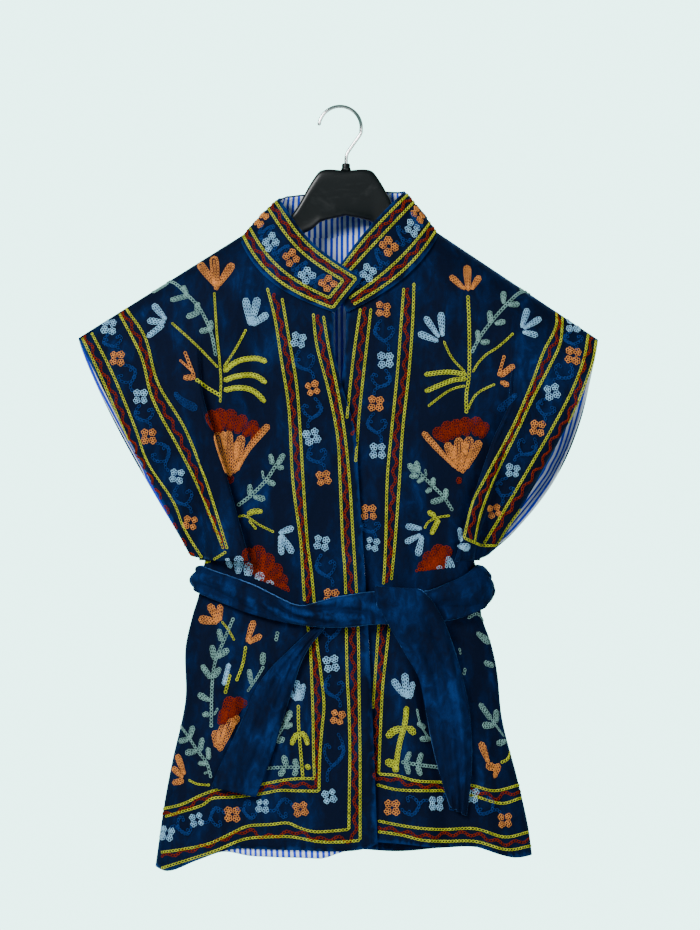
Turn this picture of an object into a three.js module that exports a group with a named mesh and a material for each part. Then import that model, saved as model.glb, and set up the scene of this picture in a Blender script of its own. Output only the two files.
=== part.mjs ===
// A velvet jacket with cut-on sleeves, a stand collar and a sash, on a suit hanger.
// Sizes are millimetres. X runs across, with the wearer's left at +X, Y runs from the front to the back and Z is up.
// The origin is where the hook rests on its nail. "out" is a distance from the middle towards one sleeve,
// "drop" is a distance below the nail and "depth" is a distance in front of or behind the hanger.
import * as THREE from "three";

const { lerp, clamp, smoothstep } = THREE.MathUtils;

// Cloth
const VELVET = 1.8;
const LINING = 1.0;
const SEAM_GAP = 0.35;
const HALF_SEAM = 0.2; // each side of a seam stops this far from the middle plane

// The body of the jacket
const UNDERARM = 529; // drop of the underarm
const FOLD_START = 324; // drop where the sleeve begins to fold over the body
const SHOULDER_ROUND = 90; // how far below the shoulder seam the cloth reaches its full depth
const SIDE_POWER = 2.6; // how square the body's section is
const FOLD_LAYER = 10; // distance between the layers of the underarm fold
const CUFF_DEPTH = 18; // half of the sleeve opening's depth
const CUFF_FADE = 0.4; // share of the body's depth that the sleeve loses by its cuff
const OVERLAP_RECESS = 5; // how far the left front lies behind the right one
const OVERLAP_FADE = 45;
const SETTLE_POWER = 4; // how soon a column leaves the seam's line for its own

// How deep the body is in front of and behind the hanger
const fullness = [
  { drop: 150, front: 38, back: 34 },
  { drop: 300, front: 43, back: 40 },
  { drop: 450, front: 43, back: 39 },
  { drop: 529, front: 40, back: 36 },
  { drop: 585, front: 36, back: 32 },
  { drop: 660, front: 43, back: 40 },
  { drop: 760, front: 52, back: 50 },
  { drop: 890, front: 58, back: 58 },
];

// Each side of the jacket, as "out" at a drop. The wearer's right side is the photo's left.
const SIDES = {
  right: {
    sign: -1,
    neck: { out: 113, drop: 148 },
    opening: [
      { drop: 242, out: 7 },
      { drop: 280, out: 7 },
      { drop: 320, out: -1 },
      { drop: 377, out: -17 },
      { drop: 440, out: -22 },
      { drop: 560, out: -30 },
      { drop: 693, out: -37 },
      { drop: 866, out: -44 },
    ],
    side: [
      { drop: 150, out: 156 },
      { drop: 324, out: 160 },
      { drop: 440, out: 162 },
      { drop: 529, out: 158 },
      { drop: 550, out: 164.5 },
      { drop: 568, out: 165 },
      { drop: 595, out: 173 },
      { drop: 633, out: 181 },
      { drop: 693, out: 181 },
      { drop: 763, out: 196 },
      { drop: 810, out: 205 },
      { drop: 886, out: 216 },
    ],
    ridge: [
      { drop: 150, out: 168 },
      { drop: 324, out: 164 },
      { drop: 430, out: 136 },
      { drop: 529, out: 109 },
    ],
    cuff: [
      { drop: 269, out: 306 },
      { drop: 396, out: 242 },
      { drop: 524, out: 175 },
    ],
    cuffBulge: 9,
    bulgeAt: 0.35,
    hem: [
      { out: -44, front: 856, back: 872 },
      { out: -30, front: 862, back: 872 },
      { out: 0, front: 865, back: 872 },
      { out: 60, front: 863, back: 874 },
      { out: 130, front: 864, back: 872 },
      { out: 168, front: 877, back: 880 },
      { out: 199, front: 890, back: 886 },
      { out: 216, front: 886, back: 886 },
    ],
  },
  left: {
    sign: 1,
    neck: { out: 113, drop: 145 },
    opening: [
      { drop: 242, out: 8 },
      { drop: 296, out: 5 },
      { drop: 320, out: 2 },
      { drop: 440, out: 0 },
      { drop: 560, out: 2 },
      { drop: 693, out: 10 },
      { drop: 866, out: 20 },
    ],
    side: [
      { drop: 150, out: 194 },
      { drop: 324, out: 196 },
      { drop: 440, out: 180 },
      { drop: 529, out: 157 },
      { drop: 550, out: 168 },
      { drop: 568, out: 169 },
      { drop: 590, out: 165 },
      { drop: 627, out: 177 },
      { drop: 660, out: 184 },
      { drop: 716, out: 190 },
      { drop: 786, out: 208 },
      { drop: 839, out: 220 },
      { drop: 875, out: 225 },
    ],
    ridge: [
      { drop: 150, out: 206 },
      { drop: 330, out: 204 },
      { drop: 391, out: 181 },
      { drop: 460, out: 158 },
      { drop: 529, out: 138 },
    ],
    cuff: [
      { drop: 271, out: 302 },
      { drop: 297, out: 296 },
      { drop: 367, out: 267 },
      { drop: 498, out: 194 },
      { drop: 521, out: 176 },
    ],
    cuffBulge: 22,
    bulgeAt: 0.62,
    hem: [
      { out: 0, front: 853, back: 872 },
      { out: 20, front: 853, back: 872 },
      { out: 78, front: 857, back: 874 },
      { out: 120, front: 861, back: 870 },
      { out: 152, front: 859, back: 868 },
      { out: 202, front: 874, back: 874 },
      { out: 225, front: 873, back: 873 },
    ],
  },
};

// Lengthwise folds below the belt: where each is at the waist and the hem, its depth (inwards is minus) and width
const folds = [
  { side: "right", face: "front", waistOut: 104, hemOut: 118, depth: -9, width: 17 },
  { side: "right", face: "front", waistOut: 60, hemOut: 66, depth: 5, width: 26 },
  { side: "left", face: "front", waistOut: 84, hemOut: 134, depth: -11, width: 15 },
  { side: "left", face: "front", waistOut: 70, hemOut: 104, depth: 5, width: 18 },
  { side: "left", face: "front", waistOut: 140, hemOut: 178, depth: 4, width: 20 },
  { side: "right", face: "back", waistOut: 45, hemOut: 62, depth: -9, width: 20 },
  { side: "right", face: "back", waistOut: 112, hemOut: 138, depth: -8, width: 18 },
  { side: "left", face: "back", waistOut: 40, hemOut: 60, depth: -9, width: 20 },
  { side: "left", face: "back", waistOut: 110, hemOut: 140, depth: -8, width: 18 },
];

// Shares of the way that the grid's rows and columns lie at
const NECK_COLUMNS = [0, 0.25, 0.5, 0.75, 1];
const OUTER_COLUMNS = [0.34, 0.66, 0.88, 1];
const FOLD_COLUMNS = [0.18, 0.55];
const SLEEVE_COLUMNS = [0, 0.2, 0.45, 0.7, 0.87, 1];
const UPPER_ROWS = [0, 0.025, 0.08, 0.17, 0.3, 0.44, 0.58, 0.72, 0.86, 1];
const LOWER_ROWS = [0.06, 0.12, 0.19, 0.3, 0.45, 0.62, 0.8, 1];

const velvet = new THREE.MeshStandardMaterial({ color: 0x0d2450, roughness: 0.85, metalness: 0 });
const cotton = new THREE.MeshStandardMaterial({ color: 0x8d99dd, roughness: 0.9, metalness: 0 });
const plastic = new THREE.MeshStandardMaterial({ color: 0x16191c, roughness: 0.4, metalness: 0 });
const chrome = new THREE.MeshStandardMaterial({ color: 0xc4c8cc, roughness: 0.2, metalness: 1 });

// Reads a column of a table at a place along its key, on a smooth curve through the rows
function read(table, key, column, place) {
  const last = table.length - 1;
  if (place <= table[0][key]) return table[0][column];
  if (place >= table[last][key]) return table[last][column];
  let i = 0;
  while (place > table[i + 1][key]) i++;
  const slope = (j) => {
    const a = table[Math.max(0, j - 1)];
    const b = table[Math.min(last, j + 1)];
    return (b[column] - a[column]) / (b[key] - a[key]);
  };
  const span = table[i + 1][key] - table[i][key];
  const t = (place - table[i][key]) / span;
  const [start, end] = [table[i][column], table[i + 1][column]];
  return (
    start * (1 + 2 * t) * (1 - t) ** 2 +
    end * t * t * (3 - 2 * t) +
    slope(i) * span * t * (1 - t) ** 2 -
    slope(i + 1) * span * t * t * (1 - t)
  );
}

const rounded = (share, power) => (1 - Math.min(1, Math.abs(share)) ** power) ** (1 / power);

// The drop of the shoulder seam, or of its line carried on, at a distance out
function shoulderDrop(side, out) {
  const tip = side.cuff[0];
  const slope = (tip.drop - side.neck.drop) / (tip.out - side.neck.out);
  return side.neck.drop + (out - side.neck.out) * slope;
}

// The drop of a panel's top edge: the neckline out to the neck point, then the shoulder seam
function topDrop(side, face, out) {
  if (out >= side.neck.out) return shoulderDrop(side, out);
  const share = clamp(out / side.neck.out, 0, 1);
  if (face === "back") return lerp(side.neck.drop + 9, side.neck.drop, share ** 2);
  const start = side.opening[0];
  const along = (out - start.out) / (side.neck.out - start.out);
  return lerp(start.drop, side.neck.drop, along) + 3 * Math.sin(Math.PI * along);
}

function foldDepth(name, face, out, drop) {
  let depth = 0;
  for (const fold of folds) {
    if (fold.side !== name || fold.face !== face) continue;
    const centre = lerp(fold.waistOut, fold.hemOut, (drop - 585) / (880 - 585));
    const strength = smoothstep(drop, 600, 800);
    depth += fold.depth * strength * Math.exp(-(((out - centre) / fold.width) ** 2));
  }
  return depth;
}

// The depth of the body's cloth at a point of one panel
function bodyDepth(name, face, out, drop) {
  const side = SIDES[name];
  const below = drop - shoulderDrop(side, out);
  const top = rounded(1 - clamp(below / SHOULDER_ROUND, 0, 1), 2);
  const width = read(side.side, "drop", "out", drop);
  const closing = smoothstep(drop, FOLD_START, UNDERARM);
  const across = lerp(1, rounded(out / width, SIDE_POWER), closing);
  const past = clamp((out - width) / (side.cuff[0].out - width), 0, 1);
  let depth = read(fullness, "drop", face, drop) * top * across * (1 - CUFF_FADE * past);
  depth += foldDepth(name, face, out, drop) * across;
  if (name === "left" && face === "front") {
    const edge = -read(SIDES.right.opening, "drop", "out", drop);
    depth -= OVERLAP_RECESS * (1 - smoothstep(out, edge, edge + OVERLAP_FADE));
  }
  return Math.max(HALF_SEAM, depth);
}

// One half of the front or back as a grid of points, from the middle out to the cuff, and from the shoulder down.
// Sleeve points end at the underarm, so they are null in the rows below it.
function halfPanel(name, face) {
  const side = SIDES[name];
  const facing = face === "front" ? -1 : 1;
  const openingOut = (drop) => (face === "front" ? read(side.opening, "drop", "out", drop) : 0);
  const sideOut = (drop) => read(side.side, "drop", "out", drop);
  const ridgeOut = (drop) => read(side.ridge, "drop", "out", drop);
  const point = (out, drop, depth) => new THREE.Vector3(side.sign * out, facing * depth, -drop);

  const neckShare = (side.neck.out - openingOut(0)) / (side.side[0].out - openingOut(0));
  const bodyColumns = [
    ...NECK_COLUMNS.map((share) => share * neckShare),
    ...OUTER_COLUMNS.map((share) => lerp(neckShare, 1, share)),
  ];
  const bodyPoint = (share, drop) => {
    const out = lerp(openingOut(drop), sideOut(drop), share);
    return point(out, drop, bodyDepth(name, face, out, drop));
  };
  const upperPoint = (share, way) => {
    const topOut = lerp(openingOut(0), side.side[0].out, share);
    const start = topDrop(side, face, topOut);
    const drop = lerp(start, UNDERARM, way);
    const settle = topOut - lerp(openingOut(start), sideOut(start), share);
    const out = lerp(openingOut(drop), sideOut(drop), share) + settle * (1 - way) ** SETTLE_POWER;
    return point(out, drop, bodyDepth(name, face, out, drop));
  };

  const cuffTip = side.cuff[0];
  const cuffEnd = side.cuff[side.cuff.length - 1];
  const sleevePoint = (share, way, fold) => {
    const topOut = lerp(side.ridge[0].out, cuffTip.out, share);
    const drop = lerp(shoulderDrop(side, topOut), lerp(UNDERARM, cuffEnd.drop, share ** 3), way);
    const bulge = face === "back" ? side.cuffBulge * Math.sin(Math.PI * way ** (Math.LN2 / -Math.log(side.bulgeAt))) : 0;
    const start = shoulderDrop(side, topOut);
    const cuffOut = (place) => read(side.cuff, "drop", "out", place);
    const settle = topOut - lerp(ridgeOut(start), cuffOut(start), share);
    const out = lerp(ridgeOut(drop), cuffOut(drop) + bulge, share) + settle * (1 - way) ** SETTLE_POWER;
    const below = clamp((drop - shoulderDrop(side, out)) / SHOULDER_ROUND, 0, 1);
    const round = rounded(1 - below, 2) * rounded(clamp((way - 0.8) / 0.2, 0, 1), 2);
    const lifted = bodyDepth(name, face, out, drop) + 2 * FOLD_LAYER * fold * (1 - share ** 12);
    return point(out, drop, Math.max(HALF_SEAM, lifted, CUFF_DEPTH * round * smoothstep(share, 0, 1)));
  };

  const rows = UPPER_ROWS.map((way) => {
    const fold = smoothstep(way, 0.2, 0.5);
    const row = bodyColumns.map((share) => upperPoint(share, way));
    for (const share of [0, ...FOLD_COLUMNS, 1]) {
      const spread = lerp(lerp(0.25, 0.75, share), share, fold);
      const topOut = lerp(side.side[0].out, side.ridge[0].out, spread);
      const start = shoulderDrop(side, topOut);
      const drop = lerp(start, UNDERARM, way);
      const settle = topOut - lerp(sideOut(start), ridgeOut(start), spread);
      const out = lerp(sideOut(drop), ridgeOut(drop), spread) + settle * (1 - way) ** SETTLE_POWER;
      row.push(point(out, drop, bodyDepth(name, face, out, drop) + FOLD_LAYER * fold));
    }
    for (const share of SLEEVE_COLUMNS) row.push(sleevePoint(share, way, fold));
    return row;
  });
  for (const share of LOWER_ROWS) {
    const row = bodyColumns.map((column) => {
      const out = lerp(openingOut(880), sideOut(880), column);
      return bodyPoint(column, lerp(UNDERARM, read(side.hem, "out", face, out), share));
    });
    for (let i = 0; i < FOLD_COLUMNS.length + 2 + SLEEVE_COLUMNS.length; i++) row.push(null);
    rows.push(row);
  }
  return rows;
}

// A closed wall of cloth through a grid of points, from one depth under its face to another. A cell with a missing
// corner is left out. Points on a seam move only in the middle plane, so that the two sides of it keep their gap.
function wall(rows, from, to) {
  const index = new Map();
  const points = [];
  const cells = [];
  rows.forEach((row, r) =>
    row.forEach((point, c) => {
      if (!point) return;
      index.set(r + "," + c, points.length);
      points.push(point);
    }),
  );
  const at = (r, c) => index.get(r + "," + c);
  for (let r = 0; r + 1 < rows.length; r++)
    for (let c = 0; c + 1 < rows[0].length; c++) {
      const corners = [at(r, c), at(r + 1, c), at(r + 1, c + 1), at(r, c + 1)];
      if (corners.every((corner) => corner !== undefined)) cells.push(corners);
    }

  const normals = points.map(() => new THREE.Vector3());
  for (const [a, b, c, d] of cells) {
    const across = points[c].clone().sub(points[a]);
    const other = points[d].clone().sub(points[b]);
    const normal = across.cross(other);
    if (normal.lengthSq() > 0) normal.normalize();
    for (const corner of [a, b, c, d]) normals[corner].add(normal);
  }
  normals.forEach((normal, i) => {
    if (Math.abs(points[i].y) <= HALF_SEAM + 1e-6) normal.y = 0;
    normal.normalize();
  });

  const positions = [];
  for (const depth of [from, to])
    points.forEach((point, i) => positions.push(...point.clone().addScaledVector(normals[i], -depth).toArray()));
  const count = points.length;
  const faces = [];
  const edges = new Map();
  for (const corners of cells) {
    const [a, b, c, d] = corners;
    faces.push(a, b, c, a, c, d, a + count, c + count, b + count, a + count, d + count, c + count);
    corners.forEach((corner, i) => edges.set(corner + "," + corners[(i + 1) % 4], [corner, corners[(i + 1) % 4]]));
  }
  for (const [key, [a, b]] of edges) {
    if (edges.has(b + "," + a)) continue;
    faces.push(a, a + count, b + count, a, b + count, b);
  }
  return solid(positions, faces);
}

// Turns positions and faces into a geometry whose faces point outwards
function solid(positions, faces) {
  let volume = 0;
  const corner = (i) => new THREE.Vector3(...positions.slice(3 * i, 3 * i + 3));
  for (let i = 0; i < faces.length; i += 3)
    volume += corner(faces[i]).dot(corner(faces[i + 1]).cross(corner(faces[i + 2])));
  const ordered = volume < 0 ? faces.slice().reverse() : faces;
  const geometry = new THREE.BufferGeometry();
  geometry.setAttribute("position", new THREE.Float32BufferAttribute(positions, 3));
  geometry.setIndex(ordered);
  geometry.computeVertexNormals();
  return geometry;
}

// A closed solid through rings of points that all have the same count, with a flat fan over each end
function loft(rings) {
  const size = rings[0].length;
  const positions = rings.flat().flatMap((point) => point.toArray());
  const faces = [];
  for (let r = 0; r + 1 < rings.length; r++)
    for (let i = 0; i < size; i++) {
      const [a, b] = [r * size + i, r * size + ((i + 1) % size)];
      faces.push(a, b, b + size, a, b + size, a + size);
    }
  const end = (rings.length - 1) * size;
  for (let i = 1; i + 1 < size; i++) {
    faces.push(0, i + 1, i);
    faces.push(end, end + i, end + i + 1);
  }
  return solid(positions, faces);
}

// A ring of points for a rounded band: half its width along one direction and half its thickness along the other
function bandRing(centre, wide, thick) {
  const ring = [];
  for (let i = 0; i < 10; i++) {
    const turn = ((i + 0.5) / 10) * 2 * Math.PI;
    const flat = Math.sign(Math.cos(turn)) * Math.abs(Math.cos(turn)) ** 0.5;
    ring.push(centre.clone().addScaledVector(wide, flat).addScaledVector(thick, Math.sin(turn)));
  }
  return ring;
}

function named(name, geometry, material) {
  const mesh = new THREE.Mesh(geometry, material);
  mesh.name = name;
  return mesh;
}

function fronts() {
  const meshes = [];
  for (const name of ["right", "left"]) {
    const grid = halfPanel(name, "front");
    meshes.push(named("front_" + name, wall(orient(grid, name, "front"), 0, VELVET), velvet));
    const inside = VELVET + SEAM_GAP;
    meshes.push(named("lining_front_" + name, wall(orient(grid, name, "front"), inside, inside + LINING), cotton));
  }
  return meshes;
}

// Turns a grid round where its cells would otherwise face inwards
function orient(grid, name, face) {
  const outward = (name === "left") === (face === "front");
  return outward ? grid : grid.map((row) => row.slice().reverse());
}

function back() {
  const right = halfPanel("right", "back");
  const left = halfPanel("left", "back");
  const grid = right.map((row, r) => [...left[r].slice().reverse(), ...row.slice(1)]);
  const inside = VELVET + SEAM_GAP;
  return [
    named("back", wall(grid, 0, VELVET), velvet),
    named("lining_back", wall(grid, inside, inside + LINING), cotton),
  ];
}

// The stand collar as columns from its right end, round the back, to its left end
const COLLAR_LIFT = 1.4; // how far its base is held off the neckline
const collarLean = [
  // place: -1 is the right end, 0 the middle of the back and 1 the left end
  { place: -1, across: 33, deep: -6, rise: 41 },
  { place: -0.75, across: 35, deep: -3, rise: 44 },
  { place: -0.5, across: 43, deep: 0, rise: 46 },
  { place: -0.3, across: 26, deep: -6, rise: 54 },
  { place: 0, across: 0, deep: -6, rise: 58 },
  { place: 0.3, across: -24, deep: -6, rise: 55 },
  { place: 0.5, across: -36, deep: 0, rise: 48 },
  { place: 0.75, across: -34, deep: -3, rise: 45 },
  { place: 1, across: -17, deep: 0, rise: 44 },
];

function neckPoint(place) {
  const name = place < 0 ? "right" : "left";
  const face = Math.abs(place) > 0.5 ? "front" : "back";
  const side = SIDES[name];
  const away = Math.abs(place);
  const start = side.opening[0].out;
  const out = face === "front" ? lerp(side.neck.out, start, (away - 0.5) * 2) : side.neck.out * away * 2;
  const drop = topDrop(side, face, out);
  const depth = bodyDepth(name, face, out, drop);
  return new THREE.Vector3(side.sign * out, (face === "front" ? -1 : 1) * depth, -drop);
}

function collar() {
  const columns = [];
  const steps = 24;
  for (let i = 0; i <= steps; i++) {
    const place = lerp(-1, 1, i / steps);
    const base = neckPoint(place);
    const lean = new THREE.Vector3(
      read(collarLean, "place", "across", place),
      read(collarLean, "place", "deep", place),
      read(collarLean, "place", "rise", place),
    );
    const start = COLLAR_LIFT / lean.length();
    columns.push([1, 0.5, start].map((share) => base.clone().addScaledVector(lean, share)));
  }
  const rows = [0, 1, 2].map((r) => columns.map((column) => column[r]));
  const inside = 1.6 + SEAM_GAP;
  return [
    named("collar", wall(rows, 0, 1.6), velvet),
    named("lining_collar", wall(rows, inside, inside + LINING), cotton),
  ];
}

// The sash: a band round the waist, a knot and two ends. Turn 0 is the middle of the front.
const BAND_THICK = 6;
const BAND_CLEAR = 1.8;
const BAND_START = -0.4;
const BAND_END = -348;
const bandPath = [
  { turn: -180, drop: 561, half: 25 },
  { turn: -90, drop: 558, half: 25 },
  { turn: -45, drop: 579, half: 23 },
  { turn: -10, drop: 592, half: 16 },
  { turn: 0, drop: 592, half: 15 },
  { turn: 25, drop: 588, half: 16 },
  { turn: 50, drop: 574, half: 20 },
  { turn: 90, drop: 561, half: 24 },
  { turn: 180, drop: 561, half: 25 },
];

// A point off the body's own section at a turn and a drop
function aroundBody(turn, drop, lift) {
  const angle = THREE.MathUtils.degToRad(turn);
  const name = turn < 0 ? "right" : "left";
  const face = Math.abs(turn) < 90 ? "front" : "back";
  const width = read(SIDES[name].side, "drop", "out", drop) + lift;
  const deep = read(fullness, "drop", face, drop) + lift;
  const out = width * Math.abs(Math.sin(angle)) ** (2 / SIDE_POWER);
  const depth = deep * Math.abs(Math.cos(angle)) ** (2 / SIDE_POWER);
  return new THREE.Vector3(SIDES[name].sign * out, face === "front" ? -depth : depth, -drop);
}

function beltBand() {
  const steps = 44;
  const rings = [];
  for (let i = 0; i <= steps; i++) {
    const turn = lerp(BAND_START, BAND_END, i / steps);
    const around = turn < -180 ? turn + 360 : turn;
    const drop = read(bandPath, "turn", "drop", around);
    const half = read(bandPath, "turn", "half", around);
    const flat = bandRing(new THREE.Vector3(), new THREE.Vector3(0, 0, half), new THREE.Vector3(0, 1, 0));
    rings.push(flat.map((p) => aroundBody(around, drop - p.z, BAND_CLEAR + (BAND_THICK / 2) * (1 + p.y))));
  }
  return named("belt_band", loft(rings), velvet);
}

const knot = { x: 21, drop: 588, depth: 50, halfWide: 24, halfTall: 24, halfDeep: 13 };

function beltKnot() {
  const geometry = new THREE.SphereGeometry(1, 16, 10);
  geometry.scale(knot.halfWide, knot.halfDeep, knot.halfTall);
  geometry.translate(knot.x, -knot.depth, -knot.drop);
  return named("belt_knot", geometry, velvet);
}

// Each hanging end, as the middle of the strip, its half width and how far it stands off the front
const TAIL_THICK = 5;
const tails = {
  right: [
    { drop: 612, out: 24, half: 13, off: 5 },
    { drop: 648, out: 50, half: 12, off: 5 },
    { drop: 680, out: 68, half: 13, off: 5 },
    { drop: 715, out: 86, half: 18, off: 5 },
    { drop: 755, out: 108, half: 24, off: 5 },
    { drop: 798, out: 122, half: 25, off: 5 },
  ],
  left: [
    { drop: 558, out: 74, half: 25, off: 10 },
    { drop: 610, out: 84, half: 27, off: 10 },
    { drop: 645, out: 100, half: 28, off: 5 },
    { drop: 690, out: 116, half: 30, off: 5 },
    { drop: 735, out: 128, half: 29, off: 5 },
    { drop: 780, out: 135, half: 18, off: 5 },
    { drop: 822, out: 140, half: 5, off: 5 },
  ],
};

function beltTail(name) {
  const sign = SIDES[name].sign;
  const rows = tails[name];
  const rings = [];
  const steps = 16;
  for (let i = 0; i <= steps; i++) {
    const drop = lerp(rows[0].drop, rows[rows.length - 1].drop, i / steps);
    const out = read(rows, "drop", "out", drop);
    const half = read(rows, "drop", "half", drop);
    const off = read(rows, "drop", "off", drop);
    const spots = [-1, -0.5, 0, 0.5, 1].map((share) => bodyDepth(name, "front", out + share * half, drop));
    const depth = Math.max(...spots) + off + TAIL_THICK / 2;
    const centre = new THREE.Vector3(sign * out, -depth, -drop);
    rings.push(bandRing(centre, new THREE.Vector3(half, 0, 0), new THREE.Vector3(0, TAIL_THICK / 2, 0)));
  }
  return named("belt_tail_" + name, loft(rings), velvet);
}

// The hanger: its sections from the middle out to one end, then the nut and the hook
const HANGER_CENTRE = 7;
const hangerSections = [
  { out: 0, top: 73, bottom: 126, thick: 14 },
  { out: 29, top: 73, bottom: 133, thick: 14 },
  { out: 40, top: 86, bottom: 142, thick: 15 },
  { out: 62, top: 123, bottom: 153, thick: 18 },
  { out: 100, top: 155, bottom: 183, thick: 21 },
  { out: 160, top: 192, bottom: 218, thick: 25 },
  { out: 212, top: 227, bottom: 250, thick: 24 },
];

function hangerBody() {
  const rings = [];
  const outs = hangerSections.map((section) => section.out);
  const places = [...outs.slice(1).reverse().map((out) => -out), ...outs];
  for (const place of places) {
    const section = hangerSections.find((row) => row.out === Math.abs(place));
    const centre = new THREE.Vector3(HANGER_CENTRE + place, 0, -(section.top + section.bottom) / 2);
    const tall = new THREE.Vector3(0, 0, (section.bottom - section.top) / 2);
    rings.push(bandRing(centre, tall, new THREE.Vector3(0, section.thick / 2, 0)));
  }
  return named("hanger_body", loft(rings), plastic);
}

const HOOK_WIRE = 4;
const HOOK_RADIUS = 24.8;
const NUT = { top: 64.8, bottom: 72.5, radius: 4.9 };

function hangerNut() {
  const geometry = new THREE.CylinderGeometry(NUT.radius, NUT.radius, NUT.bottom - NUT.top, 16);
  geometry.rotateX(Math.PI / 2);
  geometry.translate(HANGER_CENTRE, 0, -(NUT.top + NUT.bottom) / 2);
  return named("hanger_nut", geometry, plastic);
}

function hangerHook() {
  const wire = HOOK_WIRE / 2;
  const centreDrop = HOOK_RADIUS - wire;
  const points = [];
  for (let degrees = 175; degrees >= -20; degrees -= 15) {
    const angle = THREE.MathUtils.degToRad(degrees);
    const height = HOOK_RADIUS * Math.sin(angle) - centreDrop;
    points.push(new THREE.Vector3(HOOK_RADIUS * Math.cos(angle), 0, height));
  }
  points.push(new THREE.Vector3(13, 0, -46));
  points.push(new THREE.Vector3(HANGER_CENTRE + 0.8, 0, -55));
  points.push(new THREE.Vector3(HANGER_CENTRE, 0, SEAM_GAP - NUT.top));
  const section = new THREE.Shape();
  section.absarc(0, 0, wire, 0, 2 * Math.PI);
  const extrudePath = new THREE.CatmullRomCurve3(points);
  const geometry = new THREE.ExtrudeGeometry(section, { extrudePath, steps: 44, curveSegments: 5 });
  return named("hanger_hook", geometry, chrome);
}

const jacket = new THREE.Group();
jacket.add(...fronts(), ...back(), ...collar());
jacket.add(beltBand(), beltKnot(), beltTail("right"), beltTail("left"));
jacket.add(hangerBody(), hangerNut(), hangerHook());

export default jacket;
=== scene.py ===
import math

import bmesh
import bpy
import numpy as np
from mathutils import Matrix, Vector
from mathutils.bvhtree import BVHTree


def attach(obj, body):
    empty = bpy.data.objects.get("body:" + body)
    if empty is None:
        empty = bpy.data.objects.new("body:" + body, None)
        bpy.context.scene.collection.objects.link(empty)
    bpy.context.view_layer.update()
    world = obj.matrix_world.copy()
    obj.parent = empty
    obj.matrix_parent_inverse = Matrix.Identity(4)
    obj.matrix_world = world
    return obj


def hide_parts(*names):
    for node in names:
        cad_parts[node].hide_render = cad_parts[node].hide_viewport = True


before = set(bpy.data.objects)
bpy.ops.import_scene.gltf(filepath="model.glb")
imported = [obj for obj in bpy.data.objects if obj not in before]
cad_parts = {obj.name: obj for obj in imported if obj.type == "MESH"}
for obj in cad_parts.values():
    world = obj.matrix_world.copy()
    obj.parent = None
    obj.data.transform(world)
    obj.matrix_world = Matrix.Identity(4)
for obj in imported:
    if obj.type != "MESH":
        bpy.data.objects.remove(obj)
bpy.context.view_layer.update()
root = "root"
millimetre = 0.001
nodeWords = {"front_right": "FrontRight", "front_left": "FrontLeft", "back": "Back", "collar": "Collar"}

# Lengths are millimetres in the tables and metres in the meshes. "out" is a distance from the middle
# towards one sleeve, "drop" is a distance below the nail and "depth" is a distance in front of or behind
# the hanger.


# The camera, the lights and the floor

studio = dict(
    cameraPlace=(0.0117, -5.0, -0.4177),
    lens=165.4,
    background=(0.52, 0.95, 0.86, 1),
    backgroundSeen=5.6,
    backgroundLight=0.21,
    floorDrop=-1.55,
    floorColour=(0.80, 0.84, 0.83, 1),
    lamps=[
        dict(name="keyLamp", place=(-1.7, -2.4, 1.1), aim=(0, 0, -0.4), size=1.1, power=160),
        dict(name="fillLamp", place=(1.9, -2.5, -0.7), aim=(0, 0, -0.6), size=1.8, power=50),
        dict(name="rimLamp", place=(0.6, 2.6, 1.4), aim=(0, 0, -0.4), size=1.8, power=22),
    ],
)


def makeCamera():
    lensBox = bpy.data.cameras.new("photoCamera")
    lensBox.sensor_width = 36
    lensBox.lens = studio["lens"]
    camera = bpy.data.objects.new("photoCamera", lensBox)
    camera.location = studio["cameraPlace"]
    camera.rotation_euler = (math.pi / 2, 0, 0)
    bpy.context.scene.collection.objects.link(camera)
    bpy.context.scene.camera = camera


def makeLamps():
    for lamp in studio["lamps"]:
        light = bpy.data.lights.new(lamp["name"], "AREA")
        light.size = lamp["size"]
        light.energy = lamp["power"]
        holder = bpy.data.objects.new(lamp["name"], light)
        holder.location = lamp["place"]
        aim = Vector(lamp["aim"]) - Vector(lamp["place"])
        holder.rotation_euler = aim.to_track_quat("-Z", "Y").to_euler()
        bpy.context.scene.collection.objects.link(holder)


def makeWorld():
    world = bpy.data.worlds.new("studioRoom")
    bpy.context.scene.world = world
    world.use_nodes = True
    tree = world.node_tree
    tree.nodes.clear()
    path = tree.nodes.new("ShaderNodeLightPath")
    seen = tree.nodes.new("ShaderNodeBackground")
    lit = tree.nodes.new("ShaderNodeBackground")
    mixed = tree.nodes.new("ShaderNodeMixShader")
    end = tree.nodes.new("ShaderNodeOutputWorld")
    for backdrop, strength in ((seen, "backgroundSeen"), (lit, "backgroundLight")):
        backdrop.inputs["Color"].default_value = studio["background"]
        backdrop.inputs["Strength"].default_value = studio[strength]
    tree.links.new(path.outputs["Is Camera Ray"], mixed.inputs[0])
    tree.links.new(lit.outputs[0], mixed.inputs[1])
    tree.links.new(seen.outputs[0], mixed.inputs[2])
    tree.links.new(mixed.outputs[0], end.inputs[0])


makeCamera()
makeLamps()
makeWorld()
print("studio is set up")


# Shader helpers


class Wire:
    # A socket that sums can be written with
    def __init__(self, paint, socket):
        self.paint = paint
        self.socket = socket

    def __add__(self, other):
        return self.paint.maths("ADD", self, other)

    def __radd__(self, other):
        return self.paint.maths("ADD", other, self)

    def __sub__(self, other):
        return self.paint.maths("SUBTRACT", self, other)

    def __rsub__(self, other):
        return self.paint.maths("SUBTRACT", other, self)

    def __mul__(self, other):
        return self.paint.maths("MULTIPLY", self, other)

    def __rmul__(self, other):
        return self.paint.maths("MULTIPLY", other, self)

    def __truediv__(self, other):
        return self.paint.maths("DIVIDE", self, other)


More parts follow.
